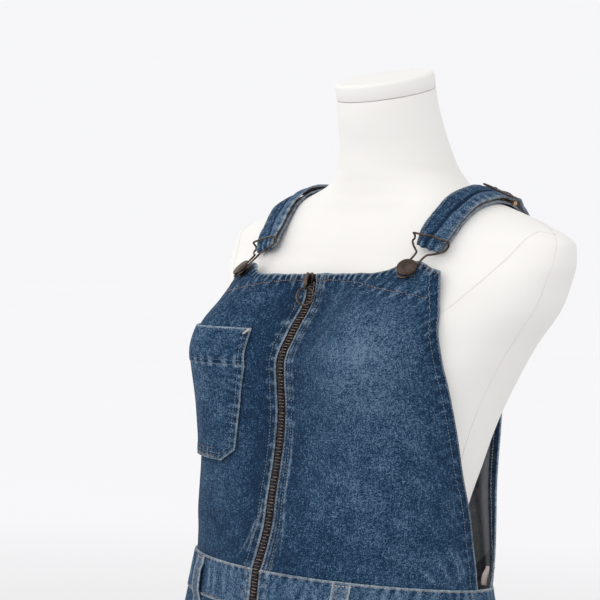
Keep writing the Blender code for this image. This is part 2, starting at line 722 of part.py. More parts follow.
def make_neck_cap(look):
    profile = [(0, 0), (CAP_RADIUS - 0.001, 0), (CAP_RADIUS, 0.001), (CAP_RADIUS, CAP_HEIGHT - CAP_ROUND)]
    for step in range(1, 5):
        angle = math.pi / 2 * step / 4
        radius = CAP_RADIUS - CAP_ROUND * (1 - math.cos(angle))
        profile.append((radius, CAP_HEIGHT - CAP_ROUND * (1 - math.sin(angle))))
    profile.append((0, CAP_HEIGHT))
    seat = Matrix.Translation((0, NECK_Y, WAIST_Z + NECK_TOP))
    place = seat @ Matrix.Rotation(NECK_TILT, 4, "X") @ Matrix.Translation((0, 0, SEAM))
    return turned("form_neck_cap", profile, look, 40, place)


def make_stand(look_pole, look_base):
    form_bottom = WAIST_Z + FORM_SECTIONS[0][0]
    low, high = BASE_HEIGHT + SEAM, form_bottom - SEAM
    taper = 0.003
    profile = (
        (0, low),
        (FLANGE_RADIUS, low),
        (FLANGE_RADIUS, low + FLANGE_HEIGHT),
        (POLE_RADIUS, low + FLANGE_HEIGHT + taper),
        (POLE_RADIUS, high - FLANGE_HEIGHT - taper),
        (FLANGE_RADIUS, high - FLANGE_HEIGHT),
        (FLANGE_RADIUS, high),
        (0, high),
    )
    turned("stand_pole", profile, look_pole, 24, Matrix.Translation((POLE_X, 0, 0)))
    plate = (
        (0, 0),
        (BASE_RADIUS, 0),
        (BASE_RADIUS, BASE_HEIGHT - BASE_ROUND),
        (BASE_RADIUS - 0.3 * BASE_ROUND, BASE_HEIGHT - 0.3 * BASE_ROUND),
        (BASE_RADIUS - BASE_ROUND, BASE_HEIGHT),
        (0, BASE_HEIGHT),
    )
    turned("stand_base", plate, look_base, 48)


def strap_base(form, count, lean):
    """Points of the left strap's route on the form, with outward normals and the distance along it."""
    tree = BVHTree.FromObject(form, bpy.context.evaluated_depsgraph_get())
    route = [(i / (len(STRAP_ROUTE) - 1), *row) for i, row in enumerate(STRAP_ROUTE)]
    stations = []
    for t in spread(0, 1, count):
        x, y, height = smooth_row(route, t)
        height += lean * max(1 - t / HOOK_BAR_FADE, 0.0)
        point, normal = tree.find_nearest(Vector((x, y, WAIST_Z + height)))[:2]
        stations.append((point, normal))
    bar_across = Vector((math.cos(HOOK_BAR_TURN), math.sin(HOOK_BAR_TURN), 0))
    smoothed = []
    for i, (point, normal) in enumerate(stations):
        near = stations[max(i - 2, 0) : i + 3]
        mean_normal = sum((item[1] for item in near), Vector()).normalized()
        along = (stations[min(i + 1, count - 1)][0] - stations[max(i - 1, 0)][0]).normalized()
        bar_normal = bar_across.cross(along).normalized()
        share = min(i / (count - 1) / HOOK_BAR_FADE, 1.0)
        share = share * share * (3 - 2 * share)
        smoothed.append((point, bar_normal.lerp(mean_normal, share).normalized()))
    return smoothed


def strap_layers(stations):
    """Centre lines of the layer on the form and of the one over it, each with its normals."""
    count = len(stations)
    under, over = [], []
    for i, (point, normal) in enumerate(stations):
        t = i / (count - 1)
        near_hook = math.exp(-((t / HOOK_REACH) ** 2))
        under_lift = STRAP_ON_FORM + (HOOK_BAR_HEIGHT - HOOK_FOLD / 2 - STRAP_ON_FORM) * near_hook
        settle = min(max((t - SLIDE_END) / SLIDE_FADE, 0.0), 1.0)
        apart = STRAP_LAYERS_APART * (1 - settle * settle * (3 - 2 * settle))
        over_lift = under_lift + apart * (1 - near_hook) + HOOK_FOLD * near_hook
        if t <= UNDER_END:
            under.append((point + normal * under_lift, normal))
        over.append((point + normal * over_lift, normal))
    return under, over


def drape_on_back(over):
    """The strap's end leaves the form and lies on the back bib's outer surface."""
    count = len(over)
    draped = []
    for i, (point, normal) in enumerate(over):
        t = i / (count - 1)
        height = point.z - WAIST_Z
        if t > STRAP_LEAVES_FORM:
            arcs, across, ahead, normal_x = bib_section(BACK, min(height, BACK_TOP))[:4]
            flat_part = ahead > ahead[0] / 2
            arc = np.interp(abs(point.x), across[flat_part], arcs[flat_part])
            seat = bib_at(BACK, arc, min(height, BACK_TOP), STRAP_CLOTH)
            seat.z = point.z
            flat = Vector((np.interp(arc, arcs, normal_x), 1, 0)).normalized()
            share = min(max((t - STRAP_LEAVES_FORM) / (STRAP_ON_BACK_FROM - STRAP_LEAVES_FORM), 0.0), 1.0)
            share = share * share * (3 - 2 * share)
            point = point.lerp(seat, share)
            normal = normal.lerp(flat, share).normalized()
        draped.append((point, normal))
    return draped


def ribbon_rings(line, width, thickness):
    rings = []
    for i, (point, normal) in enumerate(line):
        ahead = line[min(i + 1, len(line) - 1)][0]
        behind = line[max(i - 1, 0)][0]
        along = (ahead - behind).normalized()
        across = along.cross(normal).normalized()
        up = across.cross(along).normalized()
        half = across * width / 2
        lift = up * thickness / 2
        rings.append([point - half - lift, point + half - lift, point + half + lift, point - half + lift])
    return rings


def mirrored(points, side):
    return [[Vector((side * p.x, p.y, p.z)) for p in ring] for ring in points]


def hook_wire(start, bar, across):
    """Closed wire: a bar for the strap, two arms drawing in, and an eye round the button's shank."""
    up = (bar - start).normalized()
    length = (bar - start).length
    half = [(0.0, length)] + [(x, length - down) for x, down in HOOK_ARM] + [HOOK_NECK]
    for degrees in range(50, 181, 26):
        angle = math.radians(degrees)
        half.append((HOOK_EYE * math.sin(angle), HOOK_EYE * math.cos(angle)))
    whole = half + [(-x, y) for x, y in reversed(half[1:-1])]
    return [start + across * x + up * y for x, y in whole]


def button_seat(height, bar, across):
    """Seat and direction of the left button: square to its hook, and clear of the bib under its washer."""
    centre = bib_at(FRONT, BUTTON_ARC, height)
    normal = across.cross(bar - centre).normalized()
    lift = 0.0
    for turn in range(12):
        angle = math.tau * turn / 12
        arc = BUTTON_ARC + BUTTON_WASHER * math.cos(angle)
        around = bib_at(FRONT, arc, height + BUTTON_WASHER * math.sin(angle))
        lift = max(lift, (around - centre).dot(normal))
    return centre + normal * lift, normal


def make_strap_side(side, form, looks):
    """One strap with its hook, slide, slide bar and button; worked out on the left and mirrored."""
    tag = "right" if side == RIGHT else "left"
    stations = strap_base(form, STRAP_STEPS, side * HOOK_BAR_LEAN)
    under, over = strap_layers(stations)
    over = drape_on_back(over)
    bar = (under[0][0] + over[0][0]) / 2
    bar_normal = over[0][1]
    down = (under[0][0] - under[1][0]).normalized()
    reach = (over[0][0] - under[0][0]).length / 2
    turn = []
    for step in range(1, 6):
        angle = math.pi * step / 6
        out = -bar_normal * math.cos(angle) + down * math.sin(angle)
        turn.append((bar + out * reach, out))
    line = [(p, -n) for p, n in reversed(under)] + turn + over
    rings = ribbon_rings(line, STRAP_WIDTH, STRAP_CLOTH)
    at_bar = rings[len(under) + len(turn) // 2]
    strap_across = (at_bar[1] - at_bar[0]).normalized()
    rings = mirrored(rings, side)
    sweep("strap_" + tag, rings, looks["denim"])

    button, normal = button_seat(BUTTON_Z + side * BUTTON_LEAN, bar, strap_across)
    start = button + normal * HOOK_OVER_CLOTH
    wire = hook_wire(start, bar, strap_across)
    rings = mirrored(tube_rings(wire, HOOK_WIRE, 7, closed=True), side)
    sweep("strap_hook_" + tag, rings, looks["bronze"], closed=True)

    turn_to = Vector((side * normal.x, normal.y, normal.z)).to_track_quat("Z", "Y").to_matrix().to_4x4()
    place = Matrix.Translation((side * button.x, button.y, button.z)) @ turn_to
    turned("bib_button_" + tag, BUTTON_PROFILE, looks["bronze"], 22, place)

    at = int(SLIDE_AT * (len(stations) - 1))
    centre, up = over[at]
    along = (over[at + 1][0] - over[at - 1][0]).normalized()
    cross = along.cross(up).normalized()
    up = cross.cross(along).normalized()
    lift = STRAP_CLOTH / 2 + SLIDE_WIRE + SEAM
    frame = []
    for sx, sy in ((1, 1), (-1, 1), (-1, -1), (1, -1)):
        near = (sx * SLIDE_HALF, sy * (SLIDE_REACH - SLIDE_CORNER))
        far = (sx * (SLIDE_HALF - SLIDE_CORNER), sy * SLIDE_REACH)
        frame += [near, far] if sx * sy > 0 else [far, near]
    wire = [centre + cross * x + along * y + up * lift for x, y in frame]
    rings = mirrored(tube_rings(wire, SLIDE_WIRE, 7, closed=True), side)
    sweep("strap_slide_" + tag, rings, looks["bronze"], closed=True)

    middle = centre - up * (STRAP_LAYERS_APART / 2)
    knob_in = SLIDE_HALF + KNOB_FROM
    knob_out = knob_in + KNOB_LENGTH
    profile = ((0, -knob_out), (KNOB, -knob_out), (KNOB, -knob_in), (SLIDE_WIRE, -knob_in))
    profile += tuple((radius, -height) for radius, height in reversed(profile))
    aim = Vector((side * cross.x, cross.y, cross.z)).to_track_quat("Z", "Y").to_matrix().to_4x4()
    place = Matrix.Translation((side * middle.x, middle.y, middle.z)) @ aim
    turned("strap_slide_bar_" + tag, profile, looks["brass"], 12, place)


def main():
    clear_scene()
    looks = {
        "denim": material("denim", (0.045, 0.100, 0.185), 0.88),
        "tape": material("zip_tape", (0.030, 0.032, 0.045), 0.80),
        "bronze": material("aged_bronze", (0.120, 0.085, 0.060), 0.42, 1.0),
        "brass": material("brass", (0.420, 0.270, 0.130), 0.35, 1.0),
        "jersey": material("form_jersey", (0.870, 0.850, 0.820), 0.75),
        "steel": material("stand_steel", (0.620, 0.620, 0.620), 0.35, 1.0),
        "base": material("stand_paint", (0.820, 0.810, 0.790), 0.45),
    }
    form = make_form(looks["jersey"])
    make_neck_cap(looks["jersey"])
    make_stand(looks["steel"], looks["base"])
    make_bib_back(looks["denim"])
    make_waistband_back(looks["denim"])
    for side in (RIGHT, LEFT):
        make_bib_front(side, looks["denim"])
        make_waistband_front(side, looks["denim"])
        for facing in (FRONT, BACK):
            make_shorts_panel(facing, side, looks["denim"])
    make_pocket(looks["denim"])
    for name, facing, x in BELT_LOOPS:
        make_belt_loop(name, facing, x, looks["denim"])
    make_zip_chain(looks["tape"])
    make_zip_slider(looks["bronze"])
    make_zip_pull_tab(looks["bronze"])
    make_zip_ring(looks["bronze"])
    for side in (RIGHT, LEFT):
        make_strap_side(side, form, looks)


main()
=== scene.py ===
"""Looks of the denim shortalls on their dress form: cloth, stitching, zip, hardware, form and stand."""

import math

import bmesh
import bpy
import numpy as np
from mathutils import Matrix, Vector
from mathutils.bvhtree import BVHTree
from mathutils.kdtree import KDTree

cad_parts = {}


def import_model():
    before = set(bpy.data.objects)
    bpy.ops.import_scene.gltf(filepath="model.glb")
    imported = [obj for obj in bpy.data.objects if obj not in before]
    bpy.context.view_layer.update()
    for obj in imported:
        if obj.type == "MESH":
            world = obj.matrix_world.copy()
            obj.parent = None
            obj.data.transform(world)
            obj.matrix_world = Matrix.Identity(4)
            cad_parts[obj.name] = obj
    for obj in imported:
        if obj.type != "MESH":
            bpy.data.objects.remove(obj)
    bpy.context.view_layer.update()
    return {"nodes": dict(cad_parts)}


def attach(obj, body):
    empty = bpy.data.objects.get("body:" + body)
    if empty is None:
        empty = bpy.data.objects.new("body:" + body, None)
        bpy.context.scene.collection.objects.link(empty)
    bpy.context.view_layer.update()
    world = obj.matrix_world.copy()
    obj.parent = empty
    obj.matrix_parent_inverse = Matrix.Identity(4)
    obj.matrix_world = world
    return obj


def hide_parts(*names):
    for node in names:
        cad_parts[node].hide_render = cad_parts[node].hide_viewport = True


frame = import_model()

FIXED = "garment_and_form"
FRONT, BACK = -1, 1
RIGHT, LEFT = -1, 1
TAGS = {RIGHT: "right", LEFT: "left"}

# Camera, placed as the photograph was taken
VIEW_YAW, VIEW_RISE, VIEW_ROLL = math.radians(43.0), math.radians(1.3), math.radians(2.6)
VIEW_DISTANCE, VIEW_LENS, VIEW_HEIGHT, VIEW_SIDE = 1.75, 108.0, 0.759, 0.0512

# Sizes shared with the solids
WAIST_Z = 0.51
CLOTH = 0.0016
ZIP_HALF = 0.0058
BIB_TOP, BIB_PEAK, BIB_PEAK_ARC, BIB_PEAK_SPREAD, BIB_LEAN = 0.2755, 0.0115, 0.104, 0.022, 0.0045
BACK_TOP = 0.25
BUST_X, BUST_SPREAD = 0.094, 0.05
BACK_DROP, DROP_ABOVE, DROP_BELOW = 0.02, 0.12, 0.275
DROP_FRONT_Y, DROP_DEPTH = -0.118, 0.24
BAND_HEIGHT, BAND_OUT, BAND_IN = 0.038, 0.001, 0.0018
ZIP_END, CROTCH_START, CROTCH, HEM = -0.139, -0.19, -0.275, -0.37
LEG_GAP_AT_HEM, HEM_HEIGHT = 0.01, 0.022
SEAM = 0.0003
FOLD_RISE, STITCH_SINK, STITCH_STEP = 0.00045, 0.0003, 0.0014
RIM_WEAR, RIM_OUT = 0.62, 0.12
TAPE_HALF, TAPE_FRONT, TAPE_BACK = 0.014, 0.0023, 0.0031
ZIP_TOP, SLIDER_Z = 0.2735, 0.2715
RING_EYE_Y, RING_EYE_Z = -0.0672, 0.2622
RING_RADIUS, RING_WIRE = 0.0086, 0.0009
RING_LEAN, RING_TURN = math.radians(14), math.radians(22)
STRAP_WIDTH, STRAP_CLOTH, STRAP_ON_FORM, STRAP_LAYERS_APART = 0.032, 0.0022, 0.0027, 0.0052
STRAP_STEPS = 38
HOOK_REACH, HOOK_FOLD = 0.09, 0.0054
SLIDE_AT, UNDER_END, SLIDE_END, SLIDE_FADE = 0.47, 0.56, 0.6, 0.1
HOOK_BAR_HEIGHT, HOOK_WIRE = 0.0072, 0.001
HOOK_BAR_TURN, HOOK_BAR_FADE, HOOK_BAR_LEAN = math.radians(18), 0.3, 0.005
HOOK_EYE, HOOK_OVER_CLOTH, HOOK_NECK = 0.006, 0.0034, (0.0046, 0.008)
HOOK_EYE_DROP, HOOK_EYE_LOW, HOOK_FOLD_HANG = 0.0085, 0.0036, 0.004
HOOK_BAR_HALF, HOOK_BAR_UP, HOOK_BAR_SLANT = 0.0168, 0.5, 0.003
SLIDE_HALF, SLIDE_REACH, SLIDE_WIRE, SLIDE_CORNER = 0.0185, 0.0055, 0.001, 0.0018
KNOB, KNOB_FROM, KNOB_LENGTH = 0.0024, 0.0016, 0.0024
BUTTON_ARC, BUTTON_Z, BUTTON_LEAN, BUTTON_WASHER = 0.1025, 0.277, 0.004, 0.0072
STRAP_LEAVES_FORM, STRAP_ON_BACK_FROM = 0.62, 0.86
SIDE_TAB_ARC = 0.165
NECK_TILT, NECK_Y, NECK_TILT_FROM, NECK_TOP = math.radians(16), 0.036, 0.385, 0.455
CAP_RADIUS, CAP_HEIGHT, CAP_ROUND = 0.0492, 0.0165, 0.0035
POLE_X, POLE_RADIUS, FLANGE_RADIUS, FLANGE_HEIGHT = 0.052, 0.0125, 0.035, 0.006
BASE_RADIUS, BASE_HEIGHT, BASE_ROUND = 0.15, 0.01, 0.003

# Right half of the hook's wire from its bar: across, down from the bar
HOOK_ARM = (
    (0.0146, 0.0), (0.0167, 0.0009), (0.0176, 0.003), (0.0176, 0.006), (0.0141, 0.0105),
    (0.0088, 0.015), (0.0052, 0.019),
)
# Overall button, washer to head: radius, height over its seat
BUTTON_PROFILE = (
    (0.0, 0.0004), (0.0068, 0.0004), (0.0072, 0.0006), (0.0072, 0.001), (0.0066, 0.0013),
    (0.0032, 0.0018), (0.0028, 0.0024), (0.0028, 0.0048), (0.0034, 0.0052), (0.0088, 0.0052),
    (0.0094, 0.0054), (0.0097, 0.0059), (0.0097, 0.0065), (0.0093, 0.007), (0.0086, 0.0072),
    (0.0079, 0.007), (0.0074, 0.0068), (0.0068, 0.0069), (0.0062, 0.0073), (0.0054, 0.0075),
    (0.0048, 0.0074), (0.0042, 0.0075), (0.003, 0.0078), (0.0, 0.0079),
)
# Front bib sections: height, half width, depth, squareness, bust
FRONT_SECTIONS = (
    (0.0, 0.16, 0.118, 2.0, 0.0), (0.018, 0.158, 0.111, 2.2, 0.0), (0.04, 0.156, 0.1045, 2.5, 0.001),
    (0.0625, 0.155, 0.102, 2.6, 0.002), (0.0985, 0.153, 0.096, 2.8, 0.008),
    (0.14, 0.1515, 0.0925, 3.1, 0.017), (0.19, 0.149, 0.097, 3.2, 0.028),
    (0.22, 0.1455, 0.082, 3.2, 0.036), (0.25, 0.14, 0.0615, 2.6, 0.03),
    (0.285, 0.1465, 0.0575, 2.0, -0.009), (0.296, 0.1475, 0.055, 2.0, -0.02),
)
# Back bib sections: height, half width, depth, squareness, bust
BACK_SECTIONS = (
    (0.0, 0.16, 0.122, 2.0, 0.0), (0.06, 0.152, 0.121, 2.5, 0.0), (0.14, 0.152, 0.13, 2.7, 0.0),
    (0.2, 0.168, 0.149, 2.7, 0.0), (0.26, 0.184, 0.158, 2.6, 0.0),
)
# Half width of the flat front bib: height, arc
FRONT_EDGE = (
    (0.0, 0.23), (0.0625, 0.2158), (0.0985, 0.2045), (0.14, 0.199), (0.19, 0.196), (0.212, 0.189),
    (0.2455, 0.164), (0.27, 0.14), (0.285, 0.131),
)
# Lower edge of the front bib's top facing: arc, drop under the top, share of the lean
BIB_FACING = (
    (0.01, 0.0062, 0.0), (0.03, 0.0064, 0.3), (0.052, 0.0076, 0.5), (0.072, 0.011, 0.7),
    (0.092, 0.015, 0.9), (0.11, 0.0175, 1.0), (0.126, 0.02, 1.0), (0.136, 0.0215, 1.0),
)
# Half width of the flat back bib: height, arc
BACK_EDGE = (
    (0.0, 0.176), (0.03, 0.143), (0.06, 0.124), (0.14, 0.106), (0.2, 0.088), (0.25, 0.056),
)
# Waistband and shorts: height, half width, front depth, back depth
LOWER_SECTIONS = (
    (-0.37, 0.206, 0.113, 0.12), (-0.275, 0.199, 0.118, 0.126), (-0.19, 0.193, 0.123, 0.132),
    (-0.1, 0.183, 0.124, 0.131), (-0.04, 0.17, 0.121, 0.126), (0.0, 0.16, 0.118, 0.122),
)
# Chest pocket: height, inner arc, outer arc
POCKET_ROWS = (
    (0.0925, 0.0705, 0.133), (0.104, 0.0532, 0.15), (0.134, 0.0505, 0.1516), (0.16, 0.0462, 0.1531),
    (0.1855, 0.0402, 0.1546), (0.203, 0.0418, 0.1556), (0.221, 0.0447, 0.1567),
)
POCKET_OUT, POCKET_CLOTH, POCKET_HEM, POCKET_HEM_Z = 0.0007, 0.0014, 0.0008, 0.1855
# Belt loop: height, how far its inner side stands off the surface
LOOP_ROWS = (
    (-0.049, 0.0005), (-0.0425, 0.0005), (-0.0392, 0.0015), (-0.034, 0.0032), (-0.024, 0.0036),
    (-0.014, 0.0034), (-0.008, 0.0015), (-0.001, 0.0014),
)
LOOP_WIDTH, LOOP_CLOTH = 0.015, 0.0016
# Belt loops: name, facing, x
BELT_LOOPS = (
    ("belt_loop_front_right", FRONT, -0.09),
    ("belt_loop_front_left", FRONT, 0.09),
    ("belt_loop_side_right", BACK, -0.112),
    ("belt_loop_side_left", BACK, 0.112),
    ("belt_loop_back", BACK, 0.0),
)
# Dress form: height, half width, middle y, front y, back y, squareness, bust
FORM_SECTIONS = (
    (-0.185, 0.15, 0.006, -0.094, 0.116, 2.2, 0.0), (-0.15, 0.158, 0.006, -0.101, 0.119, 2.2, 0.0),
    (-0.1, 0.154, 0.005, -0.103, 0.116, 2.2, 0.0), (-0.05, 0.14, 0.003, -0.097, 0.104, 2.15, 0.0),
    (0.0, 0.126, 0.002, -0.091, 0.096, 2.1, 0.0), (0.03, 0.124, 0.002, -0.088, 0.096, 2.1, 0.0),
    (0.058, 0.126, 0.004, -0.085, 0.1, 2.15, 0.002), (0.1, 0.134, 0.009, -0.081, 0.109, 2.3, 0.006),
    (0.14, 0.142, 0.016, -0.078, 0.119, 2.4, 0.012), (0.19, 0.157, 0.027, -0.075, 0.137, 2.5, 0.02),
    (0.22, 0.171, 0.036, -0.054, 0.145, 2.5, 0.022), (0.25, 0.191, 0.044, -0.038, 0.149, 2.5, 0.014),
    (0.28, 0.202, 0.052, -0.027, 0.15, 2.4, 0.004), (0.295, 0.208, 0.056, -0.018, 0.147, 2.2, 0.0),
    (0.312, 0.209, 0.059, -0.01, 0.141, 2.05, 0.0), (0.324, 0.193, 0.061, -0.005, 0.137, 1.95, 0.0),
    (0.332, 0.173, 0.062, -0.002, 0.134, 1.9, 0.0), (0.339, 0.155, 0.063, 0.0, 0.132, 1.85, 0.0),
    (0.347, 0.131, 0.064, 0.001, 0.13, 1.8, 0.0), (0.355, 0.107, 0.065, 0.002, 0.129, 1.8, 0.0),
    (0.364, 0.082, 0.066, 0.002, 0.129, 1.9, 0.0), (0.375, 0.065, 0.0655, 0.001, 0.129, 2.0, 0.0),
    (0.389, 0.0585, 0.059, 0.0, 0.117, 2.0, 0.0), (0.404, 0.0545, 0.053, -0.002, 0.107, 2.0, 0.0),
    (0.42, 0.0515, 0.0465, -0.006, 0.098, 2.0, 0.0), (0.436, 0.0495, 0.041, -0.0095, 0.0905, 2.0, 0.0),
    (0.455, 0.048, 0.036, -0.012, 0.084, 2.0, 0.0),
)
# Route of the left strap over the form, from the hook to the back bib: x, y, height
STRAP_ROUTE = (
    (0.1035, -0.012, 0.306), (0.106, 0.002, 0.323), (0.1085, 0.0166, 0.337), (0.11, 0.038, 0.35),
    (0.111, 0.0625, 0.357), (0.1085, 0.088, 0.35), (0.1, 0.112, 0.328), (0.085, 0.132, 0.298),
    (0.07, 0.145, 0.268), (0.059, 0.15, 0.24), (0.052, 0.148, 0.215),
)
# Seams of the form's cover on the wearer's left: x, y, height
ARM_SEAM = (
    (0.15, 0.085, 0.34), (0.178, 0.068, 0.33), (0.196, 0.052, 0.321), (0.2048, 0.0441, 0.3085),
    (0.2047, 0.0407, 0.2956), (0.2011, 0.0375, 0.2826), (0.1967, 0.0371, 0.2678),
    (0.1833, 0.0316, 0.2396), (0.1729, 0.0318, 0.2234), (0.1588, 0.0253, 0.1947),
    (0.1437, 0.014, 0.1474), (0.1352, 0.0069, 0.1079), (0.131, 0.005, 0.07), (0.125, 0.003, 0.02),
    (0.14, 0.003, -0.05), (0.154, 0.005, -0.1), (0.157, 0.006, -0.15),
)
PRINCESS_SEAM = (
    (0.196, 0.054, 0.321), (0.185, 0.0434, 0.324), (0.1808, 0.0245, 0.3126), (0.1728, 0.0122, 0.2973),
    (0.161, -0.0039, 0.2782), (0.1477, -0.0172, 0.2615), (0.1357, -0.0294, 0.2466),
    (0.115, -0.06, 0.215), (0.095, -0.09, 0.175), (0.078, -0.085, 0.1), (0.062, -0.084, 0.0),
    (0.07, -0.095, -0.1), (0.072, -0.095, -0.18),
)
BACK_SEAM = (
    (0.1, 0.09, 0.352), (0.098, 0.125, 0.325), (0.093, 0.142, 0.25), (0.083, 0.12, 0.15),
    (0.064, 0.095, 0.0), (0.074, 0.108, -0.1), (0.076, 0.115, -0.18),
)


def smooth_row(table, at):
    """A table's row at any key: cubic through the rows, with slopes kept from overshooting."""
    rows = np.array(table, float)
    keys = rows[:, 0]
    values = rows[:, 1:]
    at = min(max(at, keys[0]), keys[-1])
    index = min(max(int(np.searchsorted(keys, at)) - 1, 0), len(keys) - 2)
    steps = np.diff(values, axis=0) / np.diff(keys)[:, None]
    slopes = np.gradient(values, keys, axis=0)
    limit = 3 * np.minimum(np.abs(steps[:-1]), np.abs(steps[1:]))
    limit[steps[:-1] * steps[1:] <= 0] = 0
    slopes[1:-1] = np.clip(slopes[1:-1], -limit, limit)
    span = keys[index + 1] - keys[index]
    t = (at - keys[index]) / span
    return (
        (2 * t**3 - 3 * t**2 + 1) * values[index]
        + (t**3 - 2 * t**2 + t) * span * slopes[index]
        + (-2 * t**3 + 3 * t**2) * values[index + 1]
        + (t**3 - t**2) * span * slopes[index + 1]
    )


def smooth_curve(table, keys):
    return np.array([smooth_row(table, key)[0] for key in keys])


def bell(away, width):
    return np.exp(-((away / width) ** 2))


def ease(share):
    share = np.clip(share, 0.0, 1.0)
    return share * share * (3 - 2 * share)


def world(x, y, height):
    """Points from level-section coordinates, with the waist's sag toward the back."""
    x, y, height = np.broadcast_arrays(x, y, height)
    reach = np.clip((y - DROP_FRONT_Y) / DROP_DEPTH, 0.0, 1.0)
    falloff = np.where(height > 0, 1 - height / DROP_ABOVE, 1 + height / DROP_BELOW)
    drop = BACK_DROP * reach**1.5 * np.clip(falloff, 0.0, 1.0)
    return np.stack([x, y, WAIST_Z + height - drop], axis=-1)


class BibSurface:
    """Outer surface of a bib as a table over arc and height, read between its entries."""

    ARC_STEP, HEIGHT_STEP, ARC_END, LOW, HIGH = 0.001, 0.002, 0.262, -0.004, 0.298

    def __init__(self, facing, sections):
        self.facing = facing
        self.arcs = np.arange(0, self.ARC_END, self.ARC_STEP)
        self.heights = np.arange(self.LOW, self.HIGH, self.HEIGHT_STEP)
        table = []
        for height in self.heights:
            half_width, depth, power, bust = smooth_row(sections, height)
            angle = np.radians(np.linspace(0, 115, 400))
            across = half_width * np.sin(angle) ** (2 / power)
            cosine = np.cos(angle)
            ahead = depth * np.sign(cosine) * np.abs(cosine) ** (2 / power)
            swell = bell(across - BUST_X, BUST_SPREAD)
            ahead = ahead + bust * swell * np.sqrt(np.clip(cosine, 0, 1))
            arc = np.concatenate([[0], np.cumsum(np.hypot(np.diff(across), np.diff(ahead)))])
            run, rise = np.gradient(across, arc), np.gradient(ahead, arc)
            length = np.hypot(run, rise)
            columns = (across, ahead, -rise / length, run / length)
            table.append(np.stack([np.interp(self.arcs, arc, column) for column in columns], axis=-1))
        self.table = np.array(table)

    def at(self, arc, height, out=0.0):
        arc, height, out = (np.asarray(item, float) for item in (arc, height, out))
        side = np.where(arc < 0, -1.0, 1.0)
        i = np.clip((height - self.LOW) / self.HEIGHT_STEP, 0, len(self.heights) - 1.001)
        j = np.clip(np.abs(arc) / self.ARC_STEP, 0, len(self.arcs) - 1.001)
        i0, j0 = i.astype(int), j.astype(int)
        ti, tj = (i - i0)[..., None], (j - j0)[..., None]
        low = self.table[i0, j0] * (1 - tj) + self.table[i0, j0 + 1] * tj
        high = self.table[i0 + 1, j0] * (1 - tj) + self.table[i0 + 1, j0 + 1] * tj
        found = low * (1 - ti) + high * ti
        x = found[..., 0] + out * found[..., 2]
        y = found[..., 1] + out * found[..., 3]
        return world(side * x, self.facing * y, height)


def inner_edge(facing, height):
    if facing == FRONT and height > ZIP_END:
        return ZIP_HALF
    if height > CROTCH:
        return SEAM / 2
    return SEAM / 2 + LEG_GAP_AT_HEM * (CROTCH - height) / (CROTCH - HEM)


def lower_row(facing, side, parts, height, outs):
    """One level row of the waistband or shorts surface: part 0 is the centre edge, 1 the side seam."""
    half_width, front, back = smooth_row(LOWER_SECTIONS, height)
    depth = front if facing == FRONT else back
    centre_x = inner_edge(facing, height)
    leg = min(max((CROTCH_START - height) / (CROTCH_START - CROTCH), 0.0), 1.0)
    radius = (half_width - centre_x) / (1 + leg)
    middle = centre_x + leg * radius
    start = math.acos(leg)
    angle = start + np.asarray(parts, float) * (math.pi - start)
    normal_x, normal_y = -depth * np.cos(angle), radius * np.sin(angle)
    length = np.hypot(normal_x, normal_y)
    x = middle - radius * np.cos(angle) + outs * normal_x / length
    y = SEAM / 2 + depth * np.sin(angle) + outs * normal_y / length
    return world(side * x, facing * y, height)


def lower_part(facing, x, height):
    half_width = smooth_row(LOWER_SECTIONS, height)[0]
    centre_x = inner_edge(facing, height)
    share = np.clip((np.abs(x) - centre_x) / (half_width - centre_x), 0.0, 1.0)
    return np.arcsin(share) / (math.pi / 2)


FRONT_BIB = BibSurface(FRONT, FRONT_SECTIONS)
BACK_BIB = BibSurface(BACK, BACK_SECTIONS)


# Shaders


class Value:
    """A shader socket that takes Python arithmetic."""

    def __init__(self, tree, output):
        self.tree, self.output = tree, output

    def math(self, operation, *others):
        node = self.tree.nodes.new("ShaderNodeMath")
        node.operation = operation
        for socket, item in zip(node.inputs, (self, *others)):
            if isinstance(item, Value):
                self.tree.links.new(item.output, socket)
            else:
                socket.default_value = item
        return Value(self.tree, node.outputs[0])

    def __add__(self, other):
        return self.math("ADD", other)

    __radd__ = __add__

    def __mul__(self, other):
        return self.math("MULTIPLY", other)

    __rmul__ = __mul__

    def __sub__(self, other):
        return self.math("SUBTRACT", other)

    def __truediv__(self, other):
        return self.math("DIVIDE", other)

    def sine(self):
        return self.math("SINE")

    def between(self, low, high):
        """Clamped share of the way from low to high."""
        return ((self - low) / (high - low)).math("MINIMUM", 1.0).math("MAXIMUM", 0.0)


